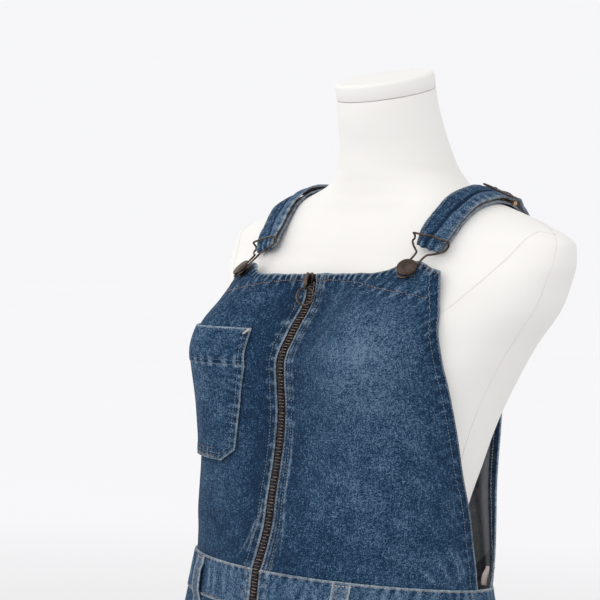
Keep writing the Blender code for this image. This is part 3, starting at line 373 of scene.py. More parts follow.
class Finish:
    """A material under construction."""

    def __init__(self, name, roughness, metallic=0.0, **constants):
        self.material = bpy.data.materials.new(name)
        self.material.use_nodes = True
        self.tree = self.material.node_tree
        self.surface = self.tree.nodes["Principled BSDF"]
        self.surface.inputs["Roughness"].default_value = roughness
        self.surface.inputs["Metallic"].default_value = metallic
        for key, value in constants.items():
            self.surface.inputs[key.replace("_", " ")].default_value = value

    def node(self, kind, output=0, settings=None, inputs=None):
        made = self.tree.nodes.new(kind)
        for key, value in (settings or {}).items():
            if key == "stops":
                ramp = made.color_ramp.elements
                while len(ramp) < len(value):
                    ramp.new(0.5)
                for element, (place, color) in zip(ramp, value):
                    element.position = place
                    element.color = (*color, 1.0)
            else:
                setattr(made, key, value)
        for key, value in (inputs or {}).items():
            socket = made.inputs[key]
            if isinstance(value, Value):
                self.tree.links.new(value.output, socket)
            else:
                socket.default_value = value
        return Value(self.tree, made.outputs[output])

    def cloth_map(self):
        return self.node("ShaderNodeUVMap", settings={"uv_map": "cloth"})

    def place(self):
        return self.node("ShaderNodeTexCoord", "Object")

    def scaled(self, vector, scale):
        inputs = {0: vector, 1: scale}
        return self.node("ShaderNodeVectorMath", settings={"operation": "MULTIPLY"}, inputs=inputs)

    def noise(self, vector, scale, detail=2.0, roughness=0.5):
        inputs = {"Vector": vector, "Scale": scale, "Detail": detail, "Roughness": roughness}
        return self.node("ShaderNodeTexNoise", inputs=inputs)

    def attribute(self, name):
        return self.node("ShaderNodeAttribute", "Fac", settings={"attribute_name": name})

    def axis(self, vector, name):
        return self.node("ShaderNodeSeparateXYZ", name, inputs={"Vector": vector})

    def ramp(self, factor, stops):
        return self.node("ShaderNodeValToRGB", settings={"stops": stops}, inputs={"Fac": factor})

    def mix(self, factor, first, second):
        first = first if isinstance(first, Value) else (*first, 1.0)
        second = second if isinstance(second, Value) else (*second, 1.0)
        return self.node("ShaderNodeMix", 2, {"data_type": "RGBA"}, {0: factor, 6: first, 7: second})

    def set(self, name, value):
        self.tree.links.new(value.output, self.surface.inputs[name])

    def done(self, color, height, distance, strength):
        """Sets the surface's colour and its bumps, and hands over the material."""
        self.set("Base Color", color)
        inputs = {"Height": height, "Distance": distance, "Strength": strength}
        self.set("Normal", self.node("ShaderNodeBump", inputs=inputs))
        return self.material


DENIM_DARK = (0.003, 0.0188, 0.049)
DENIM_MID = (0.0205, 0.0635, 0.133)
DENIM_LIGHT = (0.135, 0.205, 0.295)
DENIM_WORN = (0.35, 0.43, 0.5)
DENIM_INSIDE = (0.07, 0.074, 0.088)
DENIM_WEFT = (0.49, 0.505, 0.545)


def denim_finish(name):
    """Washed twill: blotches, upright slubs, grain and a diagonal rib, worn pale where wear is high; the
    shade attribute adds broad tone and painted light and shade on both faces.
    """
    made = Finish(name, 0.88, Specular_IOR_Level=0.18)
    flat = made.cloth_map()
    wear, shade, inside = (made.attribute(key) for key in ("wear", "shade", "inside"))
    blotch = made.noise(flat, 60.0, 3.0)
    patch = made.noise(flat, 11.0, 2.0)
    slub = made.noise(made.scaled(flat, (620.0, 130.0, 0.0)), 1.0, 2.0)
    grain = made.noise(flat, 760.0, 3.0, 0.65)
    mottle = made.noise(flat, 290.0, 2.0)
    speck = made.noise(made.scaled(flat, (1300.0, 800.0, 0.0)), 1.0, 1.0)
    across, up = made.axis(flat, "X"), made.axis(flat, "Y")
    rib = (across * 4600.0 + up * 6100.0).sine()
    # shade brings in the panel's broad tone and its painted light and shade
    tone = (
        0.36
        + (blotch - 0.5) * 0.75
        + (patch - 0.5) * 0.45
        + (slub - 0.5) * 0.85
        + (mottle - 0.5) * 1.15
        + (grain - 0.5) * 3.3
        + (speck - 0.5) * 1.1
        + rib * 0.035
        + shade
    )
    cloth = made.ramp(tone, ((0.0, DENIM_DARK), (0.42, DENIM_MID), (1.0, DENIM_LIGHT)))
    patchy = (grain - 0.5) * 2.2 + (mottle - 0.5) * 1.4 + (slub - 0.5) * 0.8
    rubbed = (wear + patchy * wear).between(0.1, 1.05)
    cloth = made.mix(rubbed, cloth, DENIM_WORN)
    # The inside face's weft takes the same shade, painted light and shade included
    weft_and_shade = (grain * 0.7 + slub * 0.5 - 0.3 + shade).between(0.0, 0.6)
    back = made.mix(weft_and_shade, DENIM_INSIDE, DENIM_WEFT)
    weave = grain * 0.55 + slub * 0.35 + speck * 0.4 + rib * 0.1
    return made.done(made.mix(inside, cloth, back), weave, 0.00045, 0.75)


def thread_finish(name, color, dark):
    made = Finish(name, 0.72, Specular_IOR_Level=0.25)
    place = made.place()
    twist = made.noise(place, 2600.0, 2.0)
    age = made.noise(place, 60.0, 2.0)
    tone = (twist * 0.5 + age * 0.6).between(0.35, 0.75)
    return made.done(made.mix(tone, dark, color), twist, 0.00015, 0.6)


def metal_finish(name, deep, rubbed_color, roughness, grit=1.0):
    """Aged plating: dark in patches, rubbed bright, finely pitted."""
    made = Finish(name, roughness, 1.0)
    place = made.place()
    patch = made.noise(place, 420.0 * grit, 3.0, 0.6)
    pits = made.noise(place, 2300.0 * grit, 2.0)
    scratch = made.noise(made.scaled(place, (900.0, 2600.0, 2100.0)), 1.0, 2.0)
    made.set("Roughness", roughness + (patch - 0.5) * 0.35 + (scratch - 0.5) * 0.15)
    color = made.mix(patch.between(0.38, 0.68), deep, rubbed_color)
    return made.done(color, pits * 0.7 + scratch * 0.3, 0.00018, 0.5)


def jersey_finish():
    """Warm white knit cover, pulled tight, with faint marks."""
    made = Finish("form_jersey_look", 0.82, Specular_IOR_Level=0.2, Sheen_Weight=0.08)
    place = made.place()
    knit = made.noise(made.scaled(place, (1500.0, 1500.0, 900.0)), 1.0, 2.0)
    cloud = made.noise(place, 14.0, 3.0)
    tone = (cloud * 0.7 + knit * 0.3).between(0.2, 0.8)
    return made.done(made.mix(tone, (0.87, 0.855, 0.83), (0.915, 0.9, 0.88)), knit, 0.00018, 0.5)


def tape_finish():
    made = Finish("zip_tape_look", 0.9, Specular_IOR_Level=0.15)
    flat = made.cloth_map()
    up = made.axis(flat, "Y")
    across = made.axis(flat, "X")
    ribs = (up * 5200.0).sine() * 0.5 + (across * 5200.0).sine() * 0.5
    fuzz = made.noise(flat, 1200.0, 2.0)
    color = made.mix(fuzz.between(0.3, 0.8), (0.022, 0.026, 0.04), (0.07, 0.078, 0.102))
    return made.done(color, ribs * 0.4 + fuzz * 0.6, 0.00025, 0.7)


def steel_finish():
    made = Finish("stand_steel_look", 0.32, 1.0)
    place = made.place()
    brushed = made.noise(made.scaled(place, (1200.0, 1200.0, 12.0)), 1.0, 2.0)
    smudge = made.noise(place, 30.0, 3.0)
    made.set("Roughness", 0.24 + brushed * 0.16 + smudge * 0.08)
    color = made.mix(smudge.between(0.3, 0.7), (0.55, 0.55, 0.56), (0.68, 0.68, 0.68))
    return made.done(color, brushed, 0.00006, 0.5)


def paint_finish():
    made = Finish("stand_paint_look", 0.42, Coat_Weight=0.15)
    place = made.place()
    orange_peel = made.noise(place, 700.0, 2.0)
    dust = made.noise(place, 22.0, 4.0)
    made.set("Roughness", 0.36 + dust * 0.18)
    color = made.mix(dust.between(0.35, 0.75), (0.83, 0.82, 0.8), (0.74, 0.73, 0.71))
    return made.done(color, orange_peel, 0.0001, 0.4)


LOOKS = {
    "denim": denim_finish("denim_look"),
    "thread": thread_finish("tan_thread_look", (0.46, 0.34, 0.26), (0.2, 0.145, 0.11)),
    "pale_thread": thread_finish("pale_thread_look", (0.34, 0.38, 0.42), (0.12, 0.15, 0.19)),
    "blue_thread": thread_finish("blue_thread_look", (0.2, 0.28, 0.38), (0.06, 0.1, 0.16)),
    "tack": thread_finish("bar_tack_look", (0.78, 0.7, 0.58), (0.5, 0.42, 0.33)),
    "bronze": metal_finish("aged_bronze_look", (0.042, 0.032, 0.028), (0.15, 0.11, 0.086), 0.34, 0.3),
    "button": metal_finish("button_bronze_look", (0.05, 0.037, 0.031), (0.115, 0.085, 0.068), 0.36, 0.25),
    "copper": metal_finish("zip_teeth_look", (0.075, 0.056, 0.047), (0.3, 0.225, 0.172), 0.42, 0.6),
    "brass": metal_finish("brass_look", (0.3, 0.185, 0.085), (0.72, 0.5, 0.27), 0.34),
    "jersey": jersey_finish(),
    "seam_tape": thread_finish("seam_tape_look", (0.8, 0.7, 0.66), (0.5, 0.42, 0.4)),
    "jersey_seam": thread_finish("form_seam_look", (0.86, 0.84, 0.82), (0.7, 0.67, 0.64)),
    "tape": tape_finish(),
    "steel": steel_finish(),
    "paint": paint_finish(),
}


# Making meshes


def new_object(name, data):
    made = bpy.data.objects.new(name, data)
    bpy.context.scene.collection.objects.link(made)
    return made


def link(name, mesh, look):
    made = new_object(name, mesh)
    mesh.materials.clear()
    mesh.materials.append(LOOKS[look])
    return made


def mesh_from(name, verts, faces):
    mesh = bpy.data.meshes.new(name)
    mesh.from_pydata([tuple(v) for v in verts], [], [tuple(f) for f in faces])
    mesh.update()
    return mesh


def closed_mesh(name, bm):
    """The mesh of a closed body, with its faces turned outward."""
    bmesh.ops.recalc_face_normals(bm, faces=bm.faces)
    mesh = bpy.data.meshes.new(name)
    bm.to_mesh(mesh)
    bm.free()
    return mesh


def outward(mesh, merge=True):
    bm = bmesh.new()
    bm.from_mesh(mesh)
    if merge:
        bmesh.ops.remove_doubles(bm, verts=bm.verts, dist=1e-7)
    bmesh.ops.recalc_face_normals(bm, faces=bm.faces)
    bm.to_mesh(mesh)
    bm.free()
    return mesh


def ring_faces(rows, columns):
    """Faces of a grid whose columns close into a ring."""
    faces = []
    for r in range(rows - 1):
        for c in range(columns):
            k = (c + 1) % columns
            faces.append((r * columns + c, r * columns + k, (r + 1) * columns + k, (r + 1) * columns + c))
    return faces


def settle(piece, body, slot, *nodes):
    """Smooths a finished piece, hangs it on its body and hides the nodes it stands for."""
    piece.data.shade_smooth()
    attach(piece, body)
    if nodes:
        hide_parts(*nodes)
    return piece


def near_line(points, line):
    """Distance of each point to a polyline, and how far along the line its nearest point is."""
    line = np.asarray(line, float)
    best = np.full(points.shape[:-1], 1e9)
    along = np.zeros(points.shape[:-1])
    run = 0.0
    for start, end in zip(line, line[1:]):
        step = end - start
        length = np.linalg.norm(step)
        if length < 1e-9:
            continue
        share = np.clip(((points - start) @ step) / length**2, 0, 1)
        away = np.linalg.norm(points - start - share[..., None] * step, axis=-1)
        nearer = away < best
        best = np.where(nearer, away, best)
        along = np.where(nearer, run + share * length, along)
        run += length
    return best, along


def uneven(values, seed):
    """A smooth wandering curve of values, the same each run."""
    made = np.zeros_like(values)
    random = np.random.default_rng(seed)
    for scale in (19.0, 41.0, 83.0, 170.0):
        turn = values * scale * random.uniform(0.8, 1.25) + random.uniform(0, math.tau)
        made += np.sin(turn) * random.uniform(0.5, 1)
    return made / 3.0


class Cloth:
    """A panel of cloth: a flat grid with its relief, wear and shade, and its rows of stitches."""

    def __init__(self, name, flat, place, thickness, seed=1):
        self.name, self.flat, self.place = name, flat, place
        self.thickness, self.seed = thickness, seed
        shape = flat.shape[:2]
        self.relief, self.wear, self.shade = np.zeros(shape), np.zeros(shape), np.zeros(shape)
        self.lines, self.inner_lines = [], []
        self.rim_wear = RIM_WEAR
        self.turned, self.inner_shade = np.zeros(shape), np.zeros(shape)

    def noise(self, scale, seed=0):
        """Smooth wandering field over the panel."""
        random = np.random.default_rng(self.seed * 100 + seed)
        total = np.zeros(self.flat.shape[:2])
        for _ in range(10):
            turn = random.uniform(0, math.tau)
            wave = self.flat @ np.array([math.cos(turn), math.sin(turn)])
            total += np.sin(wave * scale * random.uniform(0.6, 1.6) + random.uniform(0, math.tau))
        return total / 4.0

    def near(self, line):
        return near_line(self.flat, line)

    def layer(self, line, width, height, soft=0.001):
        """Extra layers within a width of a line, as a folded hem has."""
        away, _ = self.near(line)
        self.relief += height * ease((width - away) / soft + 0.5)

    def stitch(self, line, look="thread", pucker=0.00022, period=0.0105, reach=0.005):
        """A row of stitches: pulled in along the line with painted shade on it, puckered beside it with
        painted light and shade on the puckers, and worn on the puckers.
        """
        away, along = self.near(line)
        seed = self.seed + int(abs(line[0][0]) * 1000)
        wander, slant = uneven(along, seed), uneven(along * 0.6, seed + 3)
        strength = 0.3 + 0.7 * np.clip(0.5 + 0.9 * uneven(along * 0.45, seed + 5), 0, 1)
        wave = np.sin(along * math.tau / period + 3.0 * wander + away / reach * 1.6 * slant)
        self.relief -= STITCH_SINK * bell(away, 0.0011)
        beside = bell(away, reach) * strength
        self.relief += pucker * wave * beside
        self.wear += 0.28 * np.clip(wave, 0, 1) ** 1.5 * beside * (away > 0.0009)
        # Painted shade along the pulled-in line, painted light and shade on the puckers
        self.shade -= 0.2 * bell(away, 0.0012)
        self.shade += 0.34 * wave * beside
        self.lines.append((line, look))

    def turn(self, line, width, sewn):
        """A hem turned in: the cloth's face shows inside along a line, up to its row of stitches."""
        away, _ = self.near(line)
        self.turned = np.maximum(self.turned, ease((width - away) / 0.0008 + 0.5))
        self.inner_lines.append(sewn)

    def rub(self, line, width, amount, shade=0.0):
        """Wear along a fold or edge, with painted shade beside it when shade is given."""
        away, along = self.near(line)
        patchy = 0.8 + 0.35 * uneven(along, self.seed + 7)
        self.wear += amount * patchy * bell(away, width)
        # Painted shade beside the fold or edge
        self.shade += shade * bell(away, 3 * width)

    def crease(self, line, width, height):
        """A ridge or valley along a line, fading at its ends: a valley gets painted shade, a ridge wear
        and a painted highlight.
        """
        away, along = self.near(line)
        total = float(sum(np.linalg.norm(np.diff(np.asarray(line, float), axis=0), axis=1)))
        falloff = np.sin(np.clip(along / total, 0, 1) * math.pi) ** 0.7
        ridge = bell(away, width) * falloff
        self.relief += height * ridge
        if height < 0:
            # Painted shade in the valley
            self.shade -= 0.12 * ridge
            return
        rubbed, lit = (0.46, 0.36) if width < 0.003 else (0.05, 0.1)
        patchy = np.clip(0.75 + 0.45 * uneven(along * 2.0, self.seed + 11), 0, 1.2)
        self.wear += rubbed * bell(away, 0.6 * width) * falloff * patchy
        # Painted highlight on the ridge
        self.shade += lit * ridge

    def build(
        self, nodes, slot="denim", look="denim", inner_relief=0.6
    ):
        """Makes the piece and its stitches, hangs it on the fixed body and hides the nodes it stands for.
        """
        rows, columns = self.flat.shape[:2]
        outer = self.place(self.relief)
        inner = self.place(self.relief * inner_relief - self.thickness)
        middle = (outer + inner) / 2
        count = rows * columns
        index = np.arange(count).reshape(rows, columns)
        edges = (
            (index[0, :], middle[0, :], middle[1, :]),
            (index[:, -1], middle[:, -1], middle[:, -2]),
            (index[-1, ::-1], middle[-1, ::-1], middle[-2, ::-1]),
            (index[::-1, 0], middle[::-1, 0], middle[::-1, 1]),
        )
        rim_ids, rim = [], []
        for ids, points, neighbour in edges:
            away = points - neighbour
            away = away / np.maximum(np.linalg.norm(away, axis=-1, keepdims=True), 1e-9)
            rim_ids.append(ids[:-1])
            rim.append((points + away * self.thickness * RIM_OUT)[:-1])
        rim_ids, rim = np.concatenate(rim_ids), np.concatenate(rim)
        verts = np.concatenate([outer.reshape(-1, 3), inner.reshape(-1, 3), rim])
        a, b = index[:-1, :-1].ravel(), index[:-1, 1:].ravel()
        c, d = index[1:, 1:].ravel(), index[1:, :-1].ravel()
        front = np.stack([a, b, c, d], axis=1)
        back = np.stack([a, d, c, b], axis=1) + count
        around = len(rim_ids)
        here = np.arange(around)
        following = (here + 1) % around
        rim_here, rim_next = 2 * count + here, 2 * count + following
        upper = np.stack([rim_ids[here], rim_here, rim_next, rim_ids[following]], axis=1)
        lower = np.stack([rim_here, rim_ids[here] + count, rim_ids[following] + count, rim_next], axis=1)
        faces = np.concatenate([front, back, upper, lower])
        mesh = outward(mesh_from(self.name, verts, faces), merge=False)
        flat = self.flat.reshape(-1, 2)
        uv = np.concatenate([flat, flat, flat[rim_ids]])
        layer = mesh.uv_layers.new(name="cloth")
        corner = np.empty(len(mesh.loops), int)
        mesh.loops.foreach_get("vertex_index", corner)
        layer.data.foreach_set("uv", uv[corner].ravel())
        wear = np.clip(self.wear, 0, 1.2).ravel()
        shade = self.shade.ravel()
        fields = {
            "wear": np.concatenate([wear, wear * 0.3, np.maximum(wear[rim_ids], self.rim_wear)]),
            "shade": np.concatenate([shade, shade * 0.3 + self.inner_shade.ravel(), shade[rim_ids]]),
            "inside": np.concatenate([np.zeros(count), 1 - self.turned.ravel(), np.zeros(around)]),
        }
        for key, values in fields.items():
            attribute = mesh.attributes.new(key, "FLOAT", "POINT")
            attribute.data.foreach_set("value", values.astype(np.float32))
        piece = settle(link(self.name, mesh, look), FIXED, slot, *nodes)
        extras = self.sew(piece)
        cut, area = self.cut_size()

    def cut_size(self):
        """Width and length of the flat cut, and its area."""
        flat = self.flat
        size = flat.reshape(-1, 2).max(axis=0) - flat.reshape(-1, 2).min(axis=0)
        one, two = flat[1:, 1:] - flat[:-1, :-1], flat[1:, :-1] - flat[:-1, 1:]
        area = float(np.abs(one[..., 0] * two[..., 1] - one[..., 1] * two[..., 0]).sum() / 2)
        return (float(size[0]), float(size[1])), area

    def sew(self, piece):
        """The panel's rows of stitches, laid on its outer face."""
        if not self.lines:
            return []
        count = self.flat.shape[0] * self.flat.shape[1]
        points = np.array([v.co for v in piece.data.vertices[: 2 * count]])
        outer, inner = points[:count], points[count:]
        flat = self.flat.reshape(-1, 2)

        def laid(line, face):
            return face[nearest_points(resampled(np.asarray(line, float), STITCH_STEP), flat)]

        made = []
        if self.inner_lines:
            paths = [laid(line, inner) for line in self.inner_lines]
            made.append(stitched(f"inner_stitches_on_{self.name}", paths, "tack", thickness=0.0011))
        for look in sorted({used for _, used in self.lines}):
            paths = [laid(line, outer) for line, used in self.lines if used == look]
            made.append(stitched(f"{look}_on_{self.name}", paths, look))
        return made


def resampled(line, step):
    away = np.concatenate([[0], np.cumsum(np.linalg.norm(np.diff(line, axis=0), axis=1))])
    count = max(int(away[-1] / step), 2)
    at = np.linspace(0, away[-1], count)
    return np.stack([np.interp(at, away, line[:, k]) for k in range(line.shape[1])], axis=-1)


def nearest_points(line, flat):
    tree = KDTree(len(flat))
    for i, point in enumerate(flat):
        tree.insert((point[0], point[1], 0.0), i)
    tree.balance()
    return [tree.find((p[0], p[1], 0.0))[1] for p in line]


# Repeated pieces


def row_tree(name, sizes, axis):
    """A geometry tree that lays one thing at each step of a path; its shape is joined by the caller."""
    tree = bpy.data.node_groups.new(name, "GeometryNodeTree")
    for key, kind in (("Geometry", "Geometry"), ("Pitch", "Float"), *sizes, ("Finish", "Material")):
        tree.interface.new_socket(key, in_out="INPUT", socket_type="NodeSocket" + kind)
    tree.interface.new_socket("Geometry", in_out="OUTPUT", socket_type="NodeSocketGeometry")
    nodes, join = tree.nodes, tree.links.new
    given, result = nodes.new("NodeGroupInput"), nodes.new("NodeGroupOutput")
    curve = nodes.new("GeometryNodeMeshToCurve")
    spaced = nodes.new("GeometryNodeResampleCurve")
    spaced.mode = "LENGTH"
    tangent = nodes.new("GeometryNodeInputTangent")
    aim = nodes.new("FunctionNodeAlignRotationToVector")
    aim.axis = axis
    lay = nodes.new("GeometryNodeInstanceOnPoints")
    solid = nodes.new("GeometryNodeRealizeInstances")
    colour = nodes.new("GeometryNodeSetMaterial")
    join(given.outputs["Geometry"], curve.inputs["Mesh"])
    join(curve.outputs["Curve"], spaced.inputs["Curve"])
    join(given.outputs["Pitch"], spaced.inputs["Length"])
    join(tangent.outputs[0], aim.inputs["Vector"])
    join(spaced.outputs["Curve"], lay.inputs["Points"])
    join(aim.outputs["Rotation"], lay.inputs["Rotation"])
    join(lay.outputs["Instances"], solid.inputs["Geometry"])
    join(solid.outputs["Geometry"], colour.inputs["Geometry"])
    join(given.outputs["Finish"], colour.inputs["Material"])
    join(colour.outputs["Geometry"], result.inputs[0])
    return tree, given, aim, lay


def stitch_tree():
    """Small spindles laid along every edge path of the geometry."""
    tree, given, _, lay = row_tree("stitch_rows", (("Length", "Float"), ("Thickness", "Float")), "X")
    nodes, join = tree.nodes, tree.links.new
    bead = nodes.new("GeometryNodeMeshUVSphere")
    vary = nodes.new("FunctionNodeRandomValue")
    vary.data_type = "FLOAT"
    for node, values in (
        (bead, (("Segments", 6), ("Rings", 4), ("Radius", 0.5))),
        (vary, (("Min", 0.88), ("Max", 1.06), ("Seed", 11))),
    ):
        for key, value in values:
            node.inputs[key].default_value = value
    size = nodes.new("ShaderNodeCombineXYZ")
    stretch = nodes.new("GeometryNodeTransform")
    join(given.outputs["Length"], size.inputs["X"])
    join(given.outputs["Thickness"], size.inputs["Y"])
    join(given.outputs["Thickness"], size.inputs["Z"])
    join(bead.outputs["Mesh"], stretch.inputs["Geometry"])
    join(size.outputs[0], stretch.inputs["Scale"])
    join(stretch.outputs["Geometry"], lay.inputs["Instance"])
    join(vary.outputs["Value"], lay.inputs["Scale"])
    return tree


def tooth_tree():
    """One tooth at each step of a path, turned with it about X only."""
    tree, given, aim, lay = row_tree("zip_teeth", (("Tooth", "Object"),), "Z")
    aim.pivot_axis = "X"
    shape = tree.nodes.new("GeometryNodeObjectInfo")
    tree.links.new(given.outputs["Tooth"], shape.inputs["Object"])
    tree.links.new(shape.outputs["Geometry"], lay.inputs["Instance"])
    return tree


STITCHES = stitch_tree()
TEETH = tooth_tree()


def grown(name, paths, tree, values):
    """Paths as edges, run through a geometry tree and kept as a plain mesh."""
    verts, edges = [], []
    for path in paths:
        start = len(verts)
        verts.extend(tuple(p) for p in path)
        edges.extend((start + i, start + i + 1) for i in range(len(path) - 1))
    mesh = bpy.data.meshes.new(name)
    mesh.from_pydata(verts, edges, [])
    holder = new_object(name, mesh)
    modifier = holder.modifiers.new("grow", "NODES")
    modifier.node_group = tree
    for item in tree.interface.items_tree:
        if item.in_out == "INPUT" and item.name in values:
            modifier[item.identifier] = values[item.name]
    bpy.context.view_layer.update()
    evaluated = holder.evaluated_get(bpy.context.evaluated_depsgraph_get())
    grown_mesh = bpy.data.meshes.new_from_object(evaluated)
    bpy.data.objects.remove(holder, do_unlink=True)
    return grown_mesh


STITCH_PITCH, STITCH_LENGTH, STITCH_THICKNESS = 0.003, 0.0025, 0.00072


def stitched(name, paths, look, pitch=STITCH_PITCH, length=STITCH_LENGTH, thickness=STITCH_THICKNESS):
    values = {"Pitch": pitch, "Length": length, "Thickness": thickness, "Finish": LOOKS[look]}
    mesh = grown(name, paths, STITCHES, values)
    return settle(link(name, mesh, look), FIXED, "denim")


# Panels


def bib_top(arc):
    peak = BIB_PEAK * bell(np.abs(arc) - BIB_PEAK_ARC, BIB_PEAK_SPREAD)
    return BIB_TOP + peak + BIB_LEAN * arc / BIB_PEAK_ARC


BIB_GRID = (182, 126)


def make_bib_front(side):
    """A front bib panel: turned zip edge, hemmed side, shaped top facing and its creases."""
    rows, columns = BIB_GRID
    v = np.linspace(0, 1, rows)[:, None]
    u = np.linspace(0, 1, columns)[None, :]
    top_half = FRONT_EDGE[-1][1]
    top_arc = side * (ZIP_HALF + u * (top_half - ZIP_HALF))
    top = bib_top(top_arc) + 0.00085 * uneven(top_arc * 1.6, 12 + side)
    height = SEAM / 2 + v * (top - SEAM / 2)
    keys = np.linspace(0, 0.2965, 160)
    halves = smooth_curve(FRONT_EDGE, keys)
    half = np.interp(height, keys, halves)
    arc = side * (ZIP_HALF + u * (half - ZIP_HALF))
    flat = np.stack([arc, height], axis=-1)
    name = f"bib_panel_{TAGS[side]}"
    cloth = Cloth(name, flat, lambda out: FRONT_BIB.at(arc, height, out), CLOTH, 3 + side)

    def edge_line(inset):
        heights = np.linspace(0.0, float(bib_top(side * top_half)), 60)
        reach = np.interp(heights, keys, halves) - inset
        return [(side * x, h) for x, h in zip(reach, heights)]

    def zip_line(inset):
        heights = np.linspace(0.0, float(bib_top(0.01)) - 0.002, 30)
        return [(side * (ZIP_HALF + inset), h) for h in heights]

    def top_line(drop, first, last):
        arcs = side * np.linspace(first, last, 50)
        return [(a, float(bib_top(a)) - drop) for a in arcs]

    cloth.relief += 0.00055 * cloth.noise(26.0) + 0.00022 * cloth.noise(70.0, 1)
    cloth.shade += 0.05 * cloth.noise(30.0, 2)
    # Broad tone: lighter round the bust and low at the outer side, darker on the wearer's right panel and
    # a little below the top; painted shade in the hollow by the zip and where the sides turn away
    middle = np.exp(-(((np.abs(arc) - 0.108) / 0.06) ** 2) - ((height - 0.175) / 0.09) ** 2)
    upper = ease((height - 0.215) / 0.045)
    cloth.shade += (0.42 * middle - 0.16 if side == LEFT else 0.2 * middle - 0.18) + 0.02 * upper
    cloth.shade -= (0.12 if side == LEFT else 0.24) * bell(np.abs(arc) - 0.02, 0.016)
    cloth.shade -= 0.2 * bell(half - np.abs(arc), 0.018)
    cloth.shade -= 0.05 * bell(top - height - 0.03, 0.024)
    low = 1 - ease((height - 0.06) / 0.05)
    cloth.shade += (0.1 if side == LEFT else 0.03) * low * ease((np.abs(arc) - 0.07) / 0.05)
    cloth.layer(zip_line(0.0), 0.0105, FOLD_RISE)
    cloth.layer(edge_line(0.0), 0.0125, FOLD_RISE)
    lean = BIB_LEAN * side
    facing = [(side * a, BIB_TOP - drop + share * lean) for a, drop, share in BIB_FACING]
    cloth.layer(top_line(0.0, ZIP_HALF, 0.13), 0.0062, 0.0006, 0.0016)
    roll = bell(cloth.near(top_line(0.003, ZIP_HALF, 0.13))[0], 0.0034)
    bunch = np.sin(arc * math.tau / 0.0068 + 3.2 * uneven(arc, 5 + side) + 260 * (top - height))
    cloth.relief += 0.0008 * bunch * roll
    cloth.wear += 0.44 * np.clip(bunch, 0, 1) ** 2 * roll
    # Painted light and shade on the rolled top's puckers, and painted shade along the roll
    cloth.shade += 0.4 * bunch * roll - 0.1 * roll
    drop = top - height
    drag = np.sin(arc * math.tau / 0.0105 + 3.0 * uneven(arc, 15 + side) + 90 * drop)
    below = bell(drop - 0.013, 0.01) * (0.5 + 0.5 * uneven(arc * 0.8, 18 + side))
    cloth.relief += 0.00035 * drag * below
    # Painted light and shade on the drag wrinkles under the top
    cloth.shade += 0.24 * drag * below
    cloth.wear += 0.12 * np.clip(drag, 0, 1) ** 2 * below
    for line, look, pucker, period, reach in (
        (zip_line(0.0018), "pale_thread", 0.00016, 0.012, 0.0035),
        (zip_line(0.0082), "pale_thread", 0.00024, 0.012, 0.005),
        (edge_line(0.0022), "pale_thread", 0.00014, 0.011, 0.003),
        (edge_line(0.0105), "pale_thread", 0.00034, 0.0112, 0.007),
        (top_line(0.0024, 0.088, 0.128), "thread", 0.0002, 0.0125, 0.004),
        (facing, "thread", 0.00026, 0.0135, 0.006),
    ):
        cloth.stitch(line, look, pucker, period, reach)
    # Pale lines on the fold ridges by the zip: wear and a painted highlight, with painted shade beside
    # them
    lit = 0.3 if side == LEFT else 0.12
    cloth.rub(zip_line(0.0), 0.0017 if side == RIGHT else 0.0011, 0.8, -0.05)
    cloth.rub(zip_line(0.0112), 0.0011, lit, -0.05)
    cloth.rub(zip_line(0.005), 0.001, lit)
    cloth.rub(edge_line(0.0), 0.0013, 0.8, -0.06)
    cloth.turn(edge_line(0.0), 0.0122, edge_line(0.0105))
    cloth.rub(top_line(0.0, ZIP_HALF, 0.13), 0.0012, 0.8, -0.06)
    for line, width, rise in bib_creases(side):
        cloth.crease(line, width, rise)
    if side == RIGHT:
        # Painted shadow on the bib round the pocket's edge
        pocket = [(-row[1] - 0.001, row[0]) for row in POCKET_ROWS]
        outline = [(-0.073, 0.0915), (-0.133, 0.0915)] + pocket
        away, _ = cloth.near(outline)
        cloth.shade -= 0.1 * bell(away, 0.0025)
    cloth.build([f"bib_front_{TAGS[side]}"])


def bib_creases(side):
    """Soft creases of a front bib panel: line, width, rise."""
    if side == LEFT:
        return (
            (((0.185, 0.04), (0.198, 0.022), (0.206, 0.004)), 0.0021, 0.0011),
            (((0.196, 0.034), (0.206, 0.018), (0.212, 0.003)), 0.0018, 0.0009),
            (((0.174, 0.03), (0.186, 0.014), (0.196, 0.002)), 0.0019, 0.0009),
            (((0.16, 0.018), (0.172, 0.008), (0.182, 0.002)), 0.0022, 0.0008),
            (((0.018, 0.075), (0.019, 0.05), (0.024, 0.008)), 0.0019, 0.0007),
            (((0.017, 0.13), (0.018, 0.09), (0.016, 0.062)), 0.0017, 0.0006),
            (((0.025, 0.262), (0.06, 0.24), (0.09, 0.232)), 0.006, 0.0009),
            (((0.018, 0.03), (0.05, 0.055), (0.08, 0.062)), 0.009, 0.001),
            (((0.014, 0.12), (0.03, 0.15), (0.036, 0.185)), 0.008, 0.0008),
            (((0.12, 0.24), (0.112, 0.205), (0.118, 0.165)), 0.01, 0.0008),
            (((0.15, 0.2), (0.168, 0.15), (0.172, 0.11)), 0.01, -0.0008),
        )
    return (
        (((-0.188, 0.038), (-0.2, 0.02), (-0.208, 0.004)), 0.0021, 0.0011),
        (((-0.198, 0.032), (-0.207, 0.017), (-0.213, 0.003)), 0.0019, 0.0009),
        (((-0.01, 0.064), (-0.013, 0.036), (-0.02, 0.006)), 0.0019, 0.0009),
        (((-0.015, 0.048), (-0.02, 0.026), (-0.03, 0.004)), 0.0021, 0.0009),
        (((-0.022, 0.05), (-0.05, 0.07), (-0.09, 0.078)), 0.009, 0.001),
        (((-0.016, 0.15), (-0.03, 0.18), (-0.034, 0.215)), 0.007, 0.0009),
        (((-0.02, 0.255), (-0.05, 0.245), (-0.085, 0.25)), 0.006, 0.0008),
        (((-0.03, 0.02), (-0.07, 0.034), (-0.11, 0.034)), 0.008, -0.0008),
    )


